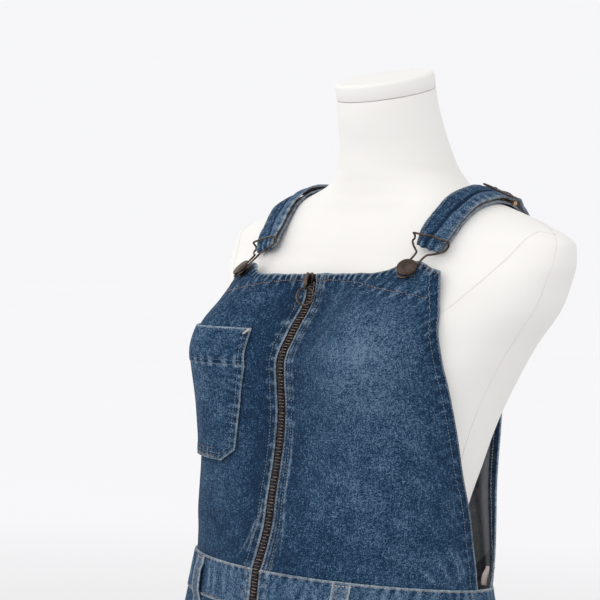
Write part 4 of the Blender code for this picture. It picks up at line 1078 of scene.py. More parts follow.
def make_bib_back():
    heights = np.linspace(SEAM / 2, BACK_TOP, 112)
    halves = smooth_curve(BACK_EDGE, heights)
    u = np.linspace(-1, 1, 140)[None, :]
    arc = halves[:, None] * u
    height = np.repeat(heights[:, None], arc.shape[1], axis=1)
    flat = np.stack([arc, height], axis=-1)
    cloth = Cloth("bib_back_panel", flat, lambda out: BACK_BIB.at(arc, height, out), CLOTH, 9)
    cloth.relief += 0.0005 * cloth.noise(22.0) + 0.0002 * cloth.noise(64.0, 1)
    cloth.shade += 0.06 * cloth.noise(26.0, 2)
    for side in (RIGHT, LEFT):
        def hem(inset):
            return [(side * (half - inset), h) for h, half in zip(heights[::3], halves[::3])]

        cloth.layer(hem(0.0), 0.012, FOLD_RISE)
        cloth.stitch(hem(0.0025), "pale_thread", pucker=0.00014, reach=0.003)
        cloth.stitch(hem(0.0095), "pale_thread", pucker=0.0003, reach=0.0065)
        cloth.rub(hem(0.0), 0.0013, 0.85, -0.05)
        cloth.turn(hem(0.0), 0.017, hem(0.011))
        away, _ = cloth.near(hem(0.0))
        # Inside face: painted highlight and shade of a soft fold beside the hem, and painted shade over
        # the bottom
        cloth.inner_shade += 0.26 * bell(away - 0.025, 0.0065)
        cloth.inner_shade -= 0.2 * bell(away - 0.037, 0.006)
        curve = 0.03 - 0.55 * np.abs(np.abs(arc) - 0.12)
        cloth.inner_shade -= 0.22 * ease((curve - height) / 0.003) * (np.sign(arc) == side)
        fold = ((side * 0.11, 0.012), (side * 0.08, 0.055), (side * 0.05, 0.09))
        cloth.crease(fold, 0.008, 0.0013)
    arcs = np.linspace(-0.056, 0.056, 20)
    top = [(a, BACK_TOP) for a in arcs]
    cloth.layer(top, 0.015, FOLD_RISE)
    for drop in (0.0025, 0.0125):
        cloth.stitch([(a, BACK_TOP - drop) for a in arcs], pucker=0.0002, reach=0.005)
    cloth.rub(top, 0.0013, 0.85)
    cloth.build(["bib_back"])


def make_side_tab():
    """A short end of twill tape caught in the waist seam inside the back bib, on the wearer's left."""
    heights = np.linspace(0.0006, 0.0175, 26)
    across = np.linspace(-0.0053, 0.0053, 11)
    flat = np.stack(np.meshgrid(across, heights), axis=-1)
    height = flat[..., 1]
    flat[..., 0] *= 1 - 0.45 * ease((height - 0.01) / 0.007)
    arc = SIDE_TAB_ARC + 0.1 * height + 0.15 * flat[..., 0]
    inward = 0.003 + 0.97 * np.abs(flat[..., 0]) + 0.0007 * np.sin(height * 300)
    forward = np.array([0.0, -1.0, 0.0])

    def place(out):
        return BACK_BIB.at(arc, height, -CLOTH - inward) + forward * out[..., None]

    cloth = Cloth("side_tab", flat, place, 0.0007, 57)
    cloth.build([], look="seam_tape")


def make_pocket():
    """Chest pocket on the wearer's right with a turned hem and clipped lower corners."""
    spans = ((0.0925, 0.104, 12), (0.1052, 0.184, 56), (0.1848, 0.1862, 4), (0.1874, 0.221, 26))
    heights = np.concatenate([np.linspace(*span) for span in spans])
    keys, inner, outer = zip(*POCKET_ROWS)
    inner, outer = np.interp(heights, keys, inner), np.interp(heights, keys, outer)
    u = np.linspace(0, 1, 78)[None, :]
    arc = -(inner[:, None] + u * (outer - inner)[:, None])
    height = np.repeat(heights[:, None], arc.shape[1], axis=1)
    flat = np.stack([arc, height], axis=-1)
    base = POCKET_OUT + POCKET_CLOTH

    def place(out):
        return FRONT_BIB.at(arc, height, base + out)

    def level(at, first, last, steps):
        return [(-a, at) for a in np.linspace(first, last, steps)]

    cloth = Cloth("chest_pocket", flat, place, POCKET_CLOTH, 21)
    bottom, top = heights[0], heights[-1]
    corner_in, corner_out = (-inner[11], heights[11]), (-outer[11], heights[11])
    left = [(-outer[-1], top), corner_out, (-outer[0], bottom)]
    right = [(-a, h) for a, h in zip(inner[:10:-4], heights[:10:-4])] + [corner_in, (-inner[0], bottom)]
    base_line = [(-inner[0], bottom), (-outer[0], bottom)]

    def inset(amount):
        cut = amount * 0.7
        return [(-a - amount, h - 0.0005) for a, h in zip(inner[:16:-4], heights[:16:-4])] + [
            (-inner[11] - amount, heights[11] + cut * 0.5),
            (-inner[0] - cut * 0.6, bottom + amount),
            (-outer[0] + cut * 0.6, bottom + amount),
            (-outer[11] + amount, heights[11] + cut * 0.5),
            (-outer[-1] + amount, top - 0.0005),
        ]

    cloth.relief += POCKET_HEM * ease((height - POCKET_HEM_Z) / 0.0016 + 0.5)
    cloth.relief += 0.0004 * cloth.noise(30.0) + 0.0002 * cloth.noise(80.0, 1)
    puff = np.sin(np.pi * u) * np.clip((height - bottom) / 0.03, 0, 1)
    cloth.relief += 0.0008 * puff
    # Lighter towards the pocket's middle
    falloff = np.sin(np.pi * u) * bell(height - 0.15, 0.03)
    cloth.shade += 0.16 * falloff - 0.02 + 0.05 * cloth.noise(34.0, 2)
    for line in (left, right, base_line):
        cloth.layer(line, 0.008, 0.00035)
        cloth.rub(line, 0.0011, 0.75, -0.03)
    # Slightly darker over the hem
    cloth.shade -= 0.03 * ease((height - POCKET_HEM_Z) / 0.0016 + 0.5)
    cloth.stitch(inset(0.0018), "pale_thread", pucker=0.00012, reach=0.003)
    cloth.stitch(inset(0.0062), "pale_thread", pucker=0.00026, period=0.008, reach=0.004)
    for rise in (0.003, 0.0105):
        row = level(bottom + rise, inner[0] + 0.012, outer[0] - 0.001, 16)
        cloth.stitch(row, pucker=0.0002, period=0.007, reach=0.004)
    for at in (0.1905, 0.1865):
        row = level(at, inner[-1] + 0.001, outer[-1] - 0.002, 24)
        cloth.stitch(row, "blue_thread", pucker=0.0002, period=0.011, reach=0.004)
    cloth.rub(level(top, inner[-1], outer[-1], 20), 0.0014, 0.95, -0.02)
    cloth.rub(level(POCKET_HEM_Z, inner[-1], outer[-1], 20), 0.001, 0.35)
    cloth.build(["bib_pocket"])
    make_bar_tacks(inner[-1], outer[-1], top)


def make_bar_tacks(inner, outer, top):
    """Dense short stitches across the pocket's upper corners."""
    paths = []
    for arc, slant in ((inner + 0.004, 1), (outer - 0.004, -1)):
        for step in np.linspace(-0.0008, 0.0008, 3):
            starts = np.array([-(arc - 0.002) + step, -(arc + 0.0012) + step])
            heights = np.array([top - 0.001, top - 0.0042 - 0.001 * slant])
            along = np.linspace(0, 1, 8)
            arcs = starts[0] + (starts[1] - starts[0]) * along
            rise = heights[0] + (heights[1] - heights[0]) * along
            paths.append(FRONT_BIB.at(arcs, rise, POCKET_OUT + POCKET_CLOTH + POCKET_HEM + 0.0006))
    stitched("pocket_bar_tacks", paths, "tack", 0.0008, 0.0011, 0.0009)


def row_arcs(points):
    """Distance along each level row of points from its first."""
    gaps = np.linalg.norm(np.diff(points[..., :2], axis=1), axis=-1)
    return np.concatenate([np.zeros((len(points), 1)), np.cumsum(gaps, axis=1)], axis=1)


def lower_grid(facing, side, parts, heights):
    """Flat coordinates of a panel below the waist, and a placing function."""
    def place(out):
        return np.array([lower_row(facing, side, parts, h, row) for h, row in zip(heights, out)])

    arc = row_arcs(place(np.zeros((len(heights), len(parts)))))
    half_widths = smooth_curve(LOWER_SECTIONS, heights)
    arc = side * (arc - arc[:, -1:] + 1.42 * half_widths[:, None])
    flat = np.stack([arc, np.repeat(np.asarray(heights)[:, None], len(parts), axis=1)], axis=-1)
    return flat, place


def along_edge(cloth, column, inset, rows=slice(None)):
    """A line beside a grid column, moved into the panel by an inset."""
    edge = cloth.flat[rows, column]
    step = cloth.flat[rows, column + (1 if column >= 0 else -1)] - edge
    way = np.sign(step[:, :1])
    return edge + np.concatenate([way * inset, np.zeros_like(way)], axis=1)


def level_line(cloth, height):
    """A level line across a panel at one height."""
    heights = cloth.flat[:, 0, 1]
    row = int(np.argmin(np.abs(heights - height)))
    low, high = sorted((cloth.flat[row, 0, 0], cloth.flat[row, -1, 0]))
    return [(a, height) for a in np.linspace(low, high, 60)]


def make_band_front(side):
    heights = np.linspace(-BAND_HEIGHT, -SEAM / 2, 27)
    flat, place = lower_grid(FRONT, side, np.linspace(0, 1, 158), heights)
    name = f"waistband_front_panel_{TAGS[side]}"
    cloth = Cloth(name, flat, lambda out: place(BAND_OUT + out), BAND_OUT + BAND_IN, 30 + 2 * side)
    finish_band(cloth)
    cloth.rub(along_edge(cloth, 0, 0.0), 0.0012, 0.7)
    cloth.stitch(along_edge(cloth, 0, 0.0018), pucker=0.0001, reach=0.003)
    cloth.stitch(along_edge(cloth, 0, 0.008), pucker=0.0002, reach=0.004)
    cloth.rub(along_edge(cloth, -1, 0.0), 0.0012, 0.7)
    cloth.build([f"waistband_front_{TAGS[side]}"])


def finish_band(cloth):
    """What the front and back waistbands share: ridges, puckers and their stitch rows."""
    height = cloth.flat[..., 1]
    along = cloth.flat[..., 0]
    wander = uneven(along, cloth.seed)
    slant = 22 * height * uneven(along * 0.8, cloth.seed + 4)
    wave = np.sin(along * math.tau / 0.015 + 4.2 * wander + slant)
    bulge = np.sin(np.pi * np.clip(-height / BAND_HEIGHT, 0, 1)) ** 0.7
    bulge = bulge * np.clip(0.6 + 0.55 * uneven(along * 0.6, cloth.seed + 2), 0.15, 1)
    cloth.relief += 0.0007 * wave * bulge
    cloth.wear += 0.2 * np.clip(wave, 0, 1) ** 2 * bulge
    # Painted light and shade on the ridges, over random tone and a lighter band overall
    cloth.shade += 0.36 * wave * bulge + 0.08 * cloth.noise(34.0, 2) + 0.16
    frill = np.sin(along * math.tau / 0.0098 + 3.0 * uneven(along, cloth.seed + 6))
    rolled = bell(height + 0.002, 0.003)
    cloth.relief += 0.0005 * frill * rolled
    # Painted light and shade on the frill of the rolled top edge
    cloth.shade += 0.34 * frill * rolled
    for at in (-0.0022, -BAND_HEIGHT + 0.0022):
        cloth.stitch(level_line(cloth, at), pucker=0.00018, period=0.0112, reach=0.0035)
    for edge in (-SEAM / 2, -BAND_HEIGHT):
        cloth.rub(level_line(cloth, edge), 0.0018, 0.95, -0.02)


def make_band_back():
    heights = np.linspace(-BAND_HEIGHT, -SEAM / 2, 27)
    parts = np.linspace(-1, 1, 317)
    shift = np.where(parts < 0, -SEAM / 2, 0.0)[None, :, None] * np.array([-1.0, 0, 0])

    def place(out):
        rows = []
        for h, row in zip(heights, out):
            right = lower_row(BACK, RIGHT, -parts[parts < 0], h, BAND_OUT + row[parts < 0])
            left = lower_row(BACK, LEFT, parts[parts >= 0], h, BAND_OUT + row[parts >= 0])
            rows.append(np.concatenate([right, left]))
        return np.array(rows) + shift

    arc = row_arcs(place(np.zeros((len(heights), len(parts)))))
    arc -= arc[:, -1:] / 2
    flat = np.stack([arc, np.repeat(heights[:, None], len(parts), axis=1)], axis=-1)
    cloth = Cloth("waistband_back_panel", flat, place, BAND_OUT + BAND_IN, 37)
    finish_band(cloth)
    for column in (0, -1):
        cloth.rub(along_edge(cloth, column, 0.0), 0.0012, 0.7)
    cloth.build(["waistband_back"])


def make_shorts(facing, side):
    """A leg panel from the waistband to the turned hem, with its crotch curve and folds."""
    upper = np.linspace(CROTCH, -BAND_HEIGHT - SEAM, 88)
    hem_rows = np.linspace(HEM, HEM + HEM_HEIGHT, 12)
    leg = np.linspace(HEM + HEM_HEIGHT + 0.0009, CROTCH - 0.0015, 28)
    heights = np.concatenate([hem_rows, leg, upper])
    parts = np.linspace(0, 1, 112)
    flat, place = lower_grid(facing, side, parts, heights)
    where = "front" if facing == FRONT else "back"
    name = f"shorts_{where}_panel_{TAGS[side]}"
    cloth = Cloth(name, flat, place, CLOTH, 41 + facing + 2 * side)
    height = flat[..., 1]
    cloth.relief += 0.0009 * ease((HEM + HEM_HEIGHT - height) / 0.0012 + 0.5)
    loose = ease((-0.05 - height) / 0.12)
    cloth.relief += loose * (0.0011 * cloth.noise(18.0) + 0.0004 * cloth.noise(48.0, 1))
    cloth.shade += 0.07 * cloth.noise(20.0, 2)
    share = parts[None, :]
    cloth.shade += 0.14 * np.exp(-(((share - 0.45) / 0.22) ** 2) - ((height + 0.23) / 0.09) ** 2)
    hem_line = level_line(cloth, HEM)
    cloth.rub(hem_line, 0.0014, 0.95, -0.05)
    hem_row = level_line(cloth, HEM + HEM_HEIGHT - 0.0022)
    cloth.turn(hem_line, HEM_HEIGHT, hem_row)
    cloth.stitch(hem_row, pucker=0.00026, period=0.0125, reach=0.007)
    cloth.rub(along_edge(cloth, -1, 0.0), 0.0014, 0.6)
    rise = (heights > CROTCH + 0.002) & (heights < (ZIP_END - 0.002 if facing == FRONT else 0.0))
    seams = [(0, 0.0022, rise, 0.00018, 0.004), (0, 0.008, rise, 0.00022, 0.005)]
    if facing == FRONT:
        above_hem, fly = heights > HEM + 0.002, heights > ZIP_END + 0.001
        cloth.layer(along_edge(cloth, 0, 0.0, fly), 0.0105, FOLD_RISE)
        cloth.rub(along_edge(cloth, 0, 0.0, fly), 0.0012, 0.8)
        seams[:0] = (
            (-1, 0.0022, above_hem, 0.00016, 0.0035),
            (-1, 0.008, above_hem, 0.00022, 0.005),
            (0, 0.0018, fly, 0.00014, 0.0035),
            (0, 0.0082, fly, 0.00022, 0.005),
        )
    for column, inset, rows, pucker, reach in seams:
        cloth.stitch(along_edge(cloth, column, inset, rows), pucker=pucker, reach=reach)
    cloth.rub(along_edge(cloth, 0, 0.0, rise), 0.0013, 0.6)
    # Painted shadow under the waistband's lower edge
    top = level_line(cloth, -BAND_HEIGHT - SEAM)
    cloth.shade -= 0.12 * bell(cloth.near(top)[0], 0.004)
    for line, width, rise_height in shorts_creases(cloth, facing):
        cloth.crease(line, width, rise_height)
    cloth.build([f"shorts_{where}_{TAGS[side]}"])


def shorts_creases(cloth, facing):
    """Soft folds that run out and down from the crotch, and across the hip: line, width, rise."""
    columns = cloth.flat.shape[1]

    def at(part, height):
        row = int(np.argmin(np.abs(cloth.flat[:, 0, 1] - height)))
        return tuple(cloth.flat[row, int(part * (columns - 1))])

    low = -0.255 if facing == FRONT else -0.262
    return (
        ((at(0.04, low), at(0.22, low + 0.022), at(0.42, low + 0.052)), 0.0055, 0.0016),
        ((at(0.05, low - 0.012), at(0.26, low - 0.006), at(0.48, low + 0.01)), 0.006, 0.0014),
        ((at(0.04, low + 0.02), at(0.16, low + 0.052), at(0.28, low + 0.092)), 0.006, 0.0012),
        ((at(0.6, -0.08), at(0.8, -0.105), at(0.97, -0.115)), 0.008, 0.0012),
        ((at(0.3, -0.335), at(0.36, -0.3), at(0.38, -0.262)), 0.009, 0.0011),
        ((at(0.72, -0.35), at(0.7, -0.3), at(0.74, -0.24)), 0.01, 0.0012),
    )


def make_belt_loop(name, facing, x):
    keys = [row[0] for row in LOOP_ROWS]
    heights = np.linspace(keys[0], keys[-1], 44)
    offs = smooth_curve(LOOP_ROWS, heights)
    across = np.linspace(-LOOP_WIDTH / 2, LOOP_WIDTH / 2, 15)

    def place(out):
        rows = []
        for h, off, row in zip(heights, offs, out):
            points = []
            for reach, lift in zip(x + across, row):
                side = -1 if reach < 0 else 1
                part = lower_part(facing, reach, h)
                points.append(lower_row(facing, side, part, h, off + LOOP_CLOTH + lift))
            rows.append(points)
        return np.array(rows)

    flat = np.stack(np.meshgrid(across, heights), axis=-1)
    cloth = Cloth(name + "_cloth", flat, place, LOOP_CLOTH, 51)
    rises = np.linspace(keys[0], keys[-1], 20)
    for side in (-1, 1):
        cloth.rub([(side * LOOP_WIDTH / 2, h) for h in rises], 0.0013, 1.0)
        inner = [(side * (LOOP_WIDTH / 2 - 0.0022), h) for h in rises]
        cloth.stitch(inner, pucker=0.00012, reach=0.0025)
    for end in (keys[0] + 0.002, keys[-1] - 0.002):
        cloth.stitch([(a, end) for a in across], "tack", pucker=0.0, reach=0.002)
    cloth.relief += 0.0002 * np.cos(across / 0.0028)[None, :]
    cloth.wear += 0.22
    cloth.build([name])


# Zip


def zip_surface(x, height, out):
    """Points near the centre front, on the bib above the waist seam and the shorts below it."""
    x, height, out = np.broadcast_arrays(*(np.asarray(item, float) for item in (x, height, out)))
    above = FRONT_BIB.at(x, np.maximum(height, 0.0), out)
    fronts = np.array([smooth_row(LOWER_SECTIONS, h)[:2] for h in np.minimum(height, 0.0).ravel()])
    half_width, front = (fronts[:, k].reshape(height.shape) for k in (0, 1))
    below = world(x, -(front * np.sqrt(1 - (x / half_width) ** 2) + out), height)
    return np.where((height >= 0)[..., None], above, below)


TOOTH_PITCH = 0.006


def tooth_shape(side):
    """A zip tooth: a foot that grips the tape and a rounded head that passes the middle."""
    bm = bmesh.new()
    reaches = (-0.0031, -0.0024, 0.0004, 0.0031, 0.0039)
    halves = (0.00036, 0.00052, 0.00046, 0.00054, 0.0004)
    backs = (-0.0006, -0.0008, -0.0016, -0.0023, -0.0022)
    fronts = (0.0007, 0.0012, 0.0011, 0.0012, 0.0006)
    rings = []
    for reach, half, back, front in zip(reaches, halves, backs, fronts):
        x = side * reach
        shoulder = front * 0.55
        corners = ((-half * 0.7, front), (half * 0.7, front), (half, shoulder), (half, back))
        corners += ((-half, back), (-half, shoulder))
        rings.append([bm.verts.new((x, -depth, z)) for z, depth in corners])
    for near, far in zip(rings, rings[1:]):
        for i in range(len(near)):
            k = (i + 1) % len(near)
            bm.faces.new((near[i], near[k], far[k], far[i]))
    bm.faces.new(rings[0])
    bm.faces.new(rings[-1])
    return new_object("tooth", closed_mesh("tooth", bm))


def make_zip():
    for side in (RIGHT, LEFT):
        heights = np.linspace(ZIP_END + 0.002, ZIP_TOP, 230)
        reach = np.linspace(0.0004, TAPE_HALF, 13)
        flat = np.stack(np.meshgrid(side * reach, heights), axis=-1)
        x, height = flat[..., 0], flat[..., 1]

        def place(out, x=x, height=height):
            return zip_surface(x, height, out - TAPE_FRONT)

        cloth = Cloth(f"zip_tape_{TAGS[side]}", flat, place, TAPE_BACK - TAPE_FRONT, 61)
        cloth.relief += 0.0004 * bell(reach - 0.0044, 0.0006)[None, :]
        cloth.build(["zip_chain"], slot="zip_tape", look="tape")
    for side in (RIGHT, LEFT):
        shift = 0.0 if side == RIGHT else TOOTH_PITCH / 2
        tooth = tooth_shape(side)
        heights = np.linspace(ZIP_TOP - 0.0075 - TOOTH_PITCH / 2, ZIP_END + 0.006, 260) + shift
        path = zip_surface(0.0, heights[::-1], 0.0)
        values = {"Pitch": TOOTH_PITCH, "Tooth": tooth, "Finish": LOOKS["copper"]}
        name = f"zip_teeth_{TAGS[side]}"
        settle(link(name, grown(name, [path], TEETH, values), "copper"), FIXED, "zip_tape")
        bpy.data.objects.remove(tooth, do_unlink=True)


def prism(name, outline, low, high, look, bevel=0.0004):
    """An (x, z) outline pushed between two y values, with its edges rounded."""
    bm = bmesh.new()
    face = bm.faces.new([bm.verts.new((x, low, z)) for x, z in outline])
    pushed = bmesh.ops.extrude_face_region(bm, geom=[face])["geom"]
    verts = [item for item in pushed if isinstance(item, bmesh.types.BMVert)]
    bmesh.ops.translate(bm, vec=(0, high - low, 0), verts=verts)
    sharp = [edge for edge in bm.edges if edge.calc_face_angle(0) > 0.5]
    bmesh.ops.bevel(bm, geom=sharp, offset=bevel, segments=3, affect="EDGES", profile=0.5)
    return link(name, closed_mesh(name, bm), look)


# Slider plate's right half from its foot to its top notch, and its right wall: x, height
SLIDER_HALF = (
    (0.003, -0.0055), (0.0037, -0.0042), (0.0043, -0.0012), (0.005, 0.002), (0.0048, 0.004),
    (0.003, 0.0054), (0.0012, 0.0048),
)
SLIDER_NOTCH = (0.0, 0.0038)
SLIDER_WALL = ((0.0042, -0.004), (0.0048, -0.0034), (0.005, 0.003), (0.0042, 0.0042))
SLIDER_PLATE_Y, SLIDER_WALL_Y, BRIDGE_FOOT_Y = (-0.0637, -0.062), (-0.0624, -0.0586), -0.063


def make_slider():
    """A shield-shaped slider with side walls and an arched bridge for the pull tab."""
    middle = WAIST_Z + SLIDER_Z
    mirrored = [(-x, z) for x, z in reversed(SLIDER_HALF)]
    around = (mirrored[-1], *SLIDER_HALF, SLIDER_NOTCH, *mirrored[:-1])
    outline = [(x, middle + z) for x, z in around]
    plate = prism("zip_slider_plate", outline, *SLIDER_PLATE_Y, "bronze", 0.0007)
    settle(plate, FIXED, "aged_bronze", "zip_slider")
    for side in (-1, 1):
        outline = [(side * x, middle + z) for x, z in SLIDER_WALL]
        wall = prism(f"zip_slider_wall_{TAGS[side]}", outline, *SLIDER_WALL_Y, "bronze")
        settle(wall, FIXED, "aged_bronze")
    arch = []
    for step in range(25):
        angle = math.pi * step / 24
        y = BRIDGE_FOOT_Y - 0.0034 * math.sin(angle) ** 0.7
        arch.append(Vector((0.0, y, middle + 0.0036 * math.cos(angle))))
    settle(tube("zip_slider_bridge", arch, 0.0007, "bronze", flat=1.7), FIXED, "aged_bronze")


# Wires and turned pieces


def rounded(points, closed, each):
    """A smooth curve through points."""
    count = len(points)
    made = []
    for i in range(count if closed else count - 1):
        near = range(i - 1, i + 3)
        a, b, c, d = (points[k % count if closed else min(max(k, 0), count - 1)] for k in near)
        for step in range(each):
            t = step / each
            bend = 2 * b + (c - a) * t + (2 * a - 5 * b + 4 * c - d) * t**2
            made.append(0.5 * (bend + (3 * b - a - 3 * c + d) * t**3))
    if not closed:
        made.append(points[-1])
    return made


def tube(name, points, radius, look, sides=12, closed=False, flat=1.0):
    """A wire along points; flat widens it across."""
    verts, faces = [], []
    count = len(points)
    across = None
    for i, point in enumerate(points):
        ahead = points[(i + 1) % count] if closed or i < count - 1 else point
        behind = points[i - 1] if closed or i > 0 else point
        along = (ahead - behind).normalized()
        if across is None:
            across = Vector((1, 0, 0)) if abs(along.x) < 0.9 else along.orthogonal().normalized()
        across = (across - along * across.dot(along)).normalized()
        up = along.cross(across)
        for k in range(sides):
            angle = math.tau * k / sides
            verts.append(point + radius * (flat * math.cos(angle) * across + math.sin(angle) * up))
    for i in range(count if closed else count - 1):
        here, following = i * sides, (i + 1) % count * sides
        for k in range(sides):
            turn = (k + 1) % sides
            faces.append((here + k, here + turn, following + turn, following + k))
    if not closed:
        faces.append(tuple(range(sides)))
        faces.append(tuple(range((count - 1) * sides, count * sides)))
    return link(name, outward(mesh_from(name, verts, faces)), look)


def turned(name, profile, look, steps, place=None):
    """A body turned about Z from (radius, height) points that start and end on the axis."""
    verts, faces = [(0, 0, profile[0][1])], []
    rings = []
    for radius, height in profile[1:-1]:
        rings.append(len(verts))
        for k in range(steps):
            angle = math.tau * k / steps
            verts.append((radius * math.cos(angle), radius * math.sin(angle), height))
    last = len(verts)
    verts.append((0, 0, profile[-1][1]))
    for k in range(steps):
        turn = (k + 1) % steps
        faces.append((0, rings[0] + turn, rings[0] + k))
        faces.append((last, rings[-1] + k, rings[-1] + turn))
        for near, far in zip(rings, rings[1:]):
            faces.append((near + k, near + turn, far + turn, far + k))
    mesh = outward(mesh_from(name, verts, faces))
    if place is not None:
        mesh.transform(place)
    return link(name, mesh, look)


def make_ring():
    across = Vector((math.cos(RING_TURN), math.sin(RING_TURN), 0))
    facing = Vector((math.sin(RING_TURN), -math.cos(RING_TURN), 0))
    down = Vector((0, 0, -math.cos(RING_LEAN))) + facing * math.sin(RING_LEAN)
    centre = Vector((0, RING_EYE_Y, WAIST_Z + RING_EYE_Z)) + down * RING_RADIUS
    turns = [math.tau * i / 72 for i in range(72)]
    points = [centre + RING_RADIUS * (math.sin(a) * across - math.cos(a) * down) for a in turns]
    ring = tube("pull_ring_wire", points, RING_WIRE, "bronze", 14, closed=True)
    settle(ring, "pull_ring", "aged_bronze", "zip_ring")


# Straps


def strap_base(form, count, lean):
    """Points of the left strap's route on the form, with outward normals and the distance along it."""
    mesh = form.data
    tree = BVHTree.FromPolygons([v.co for v in mesh.vertices], [p.vertices for p in mesh.polygons])
    route = [(i / (len(STRAP_ROUTE) - 1), *row) for i, row in enumerate(STRAP_ROUTE)]
    stations = []
    for i in range(count):
        t = i / (count - 1)
        x, y, height = smooth_row(route, t)
        height += lean * max(1 - t / HOOK_BAR_FADE, 0.0)
        point, normal = tree.find_nearest(Vector((x, y, WAIST_Z + height)))[:2]
        stations.append((point, normal))
    bar_across = Vector((math.cos(HOOK_BAR_TURN), math.sin(HOOK_BAR_TURN), 0))
    smoothed = []
    for i, (point, normal) in enumerate(stations):
        near = stations[max(i - 2, 0) : i + 3]
        mean_normal = sum((item[1] for item in near), Vector()).normalized()
        along = (stations[min(i + 1, count - 1)][0] - stations[max(i - 1, 0)][0]).normalized()
        bar_normal = bar_across.cross(along).normalized()
        share = float(ease(i / (count - 1) / HOOK_BAR_FADE))
        smoothed.append((point, bar_normal.lerp(mean_normal, share).normalized()))
    return smoothed


def strap_layers(stations):
    """Centre lines of the layer on the form and of the one over it, each with its normals."""
    count = len(stations)
    under, over = [], []
    for i, (point, normal) in enumerate(stations):
        t = i / (count - 1)
        near_hook = math.exp(-((t / HOOK_REACH) ** 2))
        under_lift = STRAP_ON_FORM + (HOOK_BAR_HEIGHT - HOOK_FOLD / 2 - STRAP_ON_FORM) * near_hook
        apart = STRAP_LAYERS_APART * (1 - float(ease((t - SLIDE_END) / SLIDE_FADE)))
        over_lift = under_lift + apart * (1 - near_hook) + HOOK_FOLD * near_hook
        if t <= UNDER_END:
            under.append((point + normal * under_lift, normal))
        over.append((point + normal * over_lift, normal))
    return under, over


def drape_on_back(over):
    """The strap's end leaves the form and lies on the back bib's outer surface."""
    count = len(over)
    draped = []
    arcs = np.linspace(0, 0.16, 400)
    for i, (point, normal) in enumerate(over):
        t = i / (count - 1)
        if t > STRAP_LEAVES_FORM:
            height = min(point.z - WAIST_Z, BACK_TOP)
            line = BACK_BIB.at(arcs, height)
            flat_part = line[:, 1] > line[0, 1] / 2
            arc = np.interp(abs(point.x), line[flat_part, 0], arcs[flat_part])
            seat = BACK_BIB.at(arc, height, STRAP_CLOTH)
            aim = BACK_BIB.at(arc, height, 0.01) - BACK_BIB.at(arc, height, 0.0)
            flat = Vector((aim[0] / 0.01, 1, 0)).normalized()
            share = float(ease((t - STRAP_LEAVES_FORM) / (STRAP_ON_BACK_FROM - STRAP_LEAVES_FORM)))
            point = point.lerp(Vector((seat[0], seat[1], point.z)), share)
            normal = normal.lerp(flat, share).normalized()
        draped.append((point, normal))
    return draped


def side_of(point, side):
    return Vector((side * point.x, point.y, point.z))


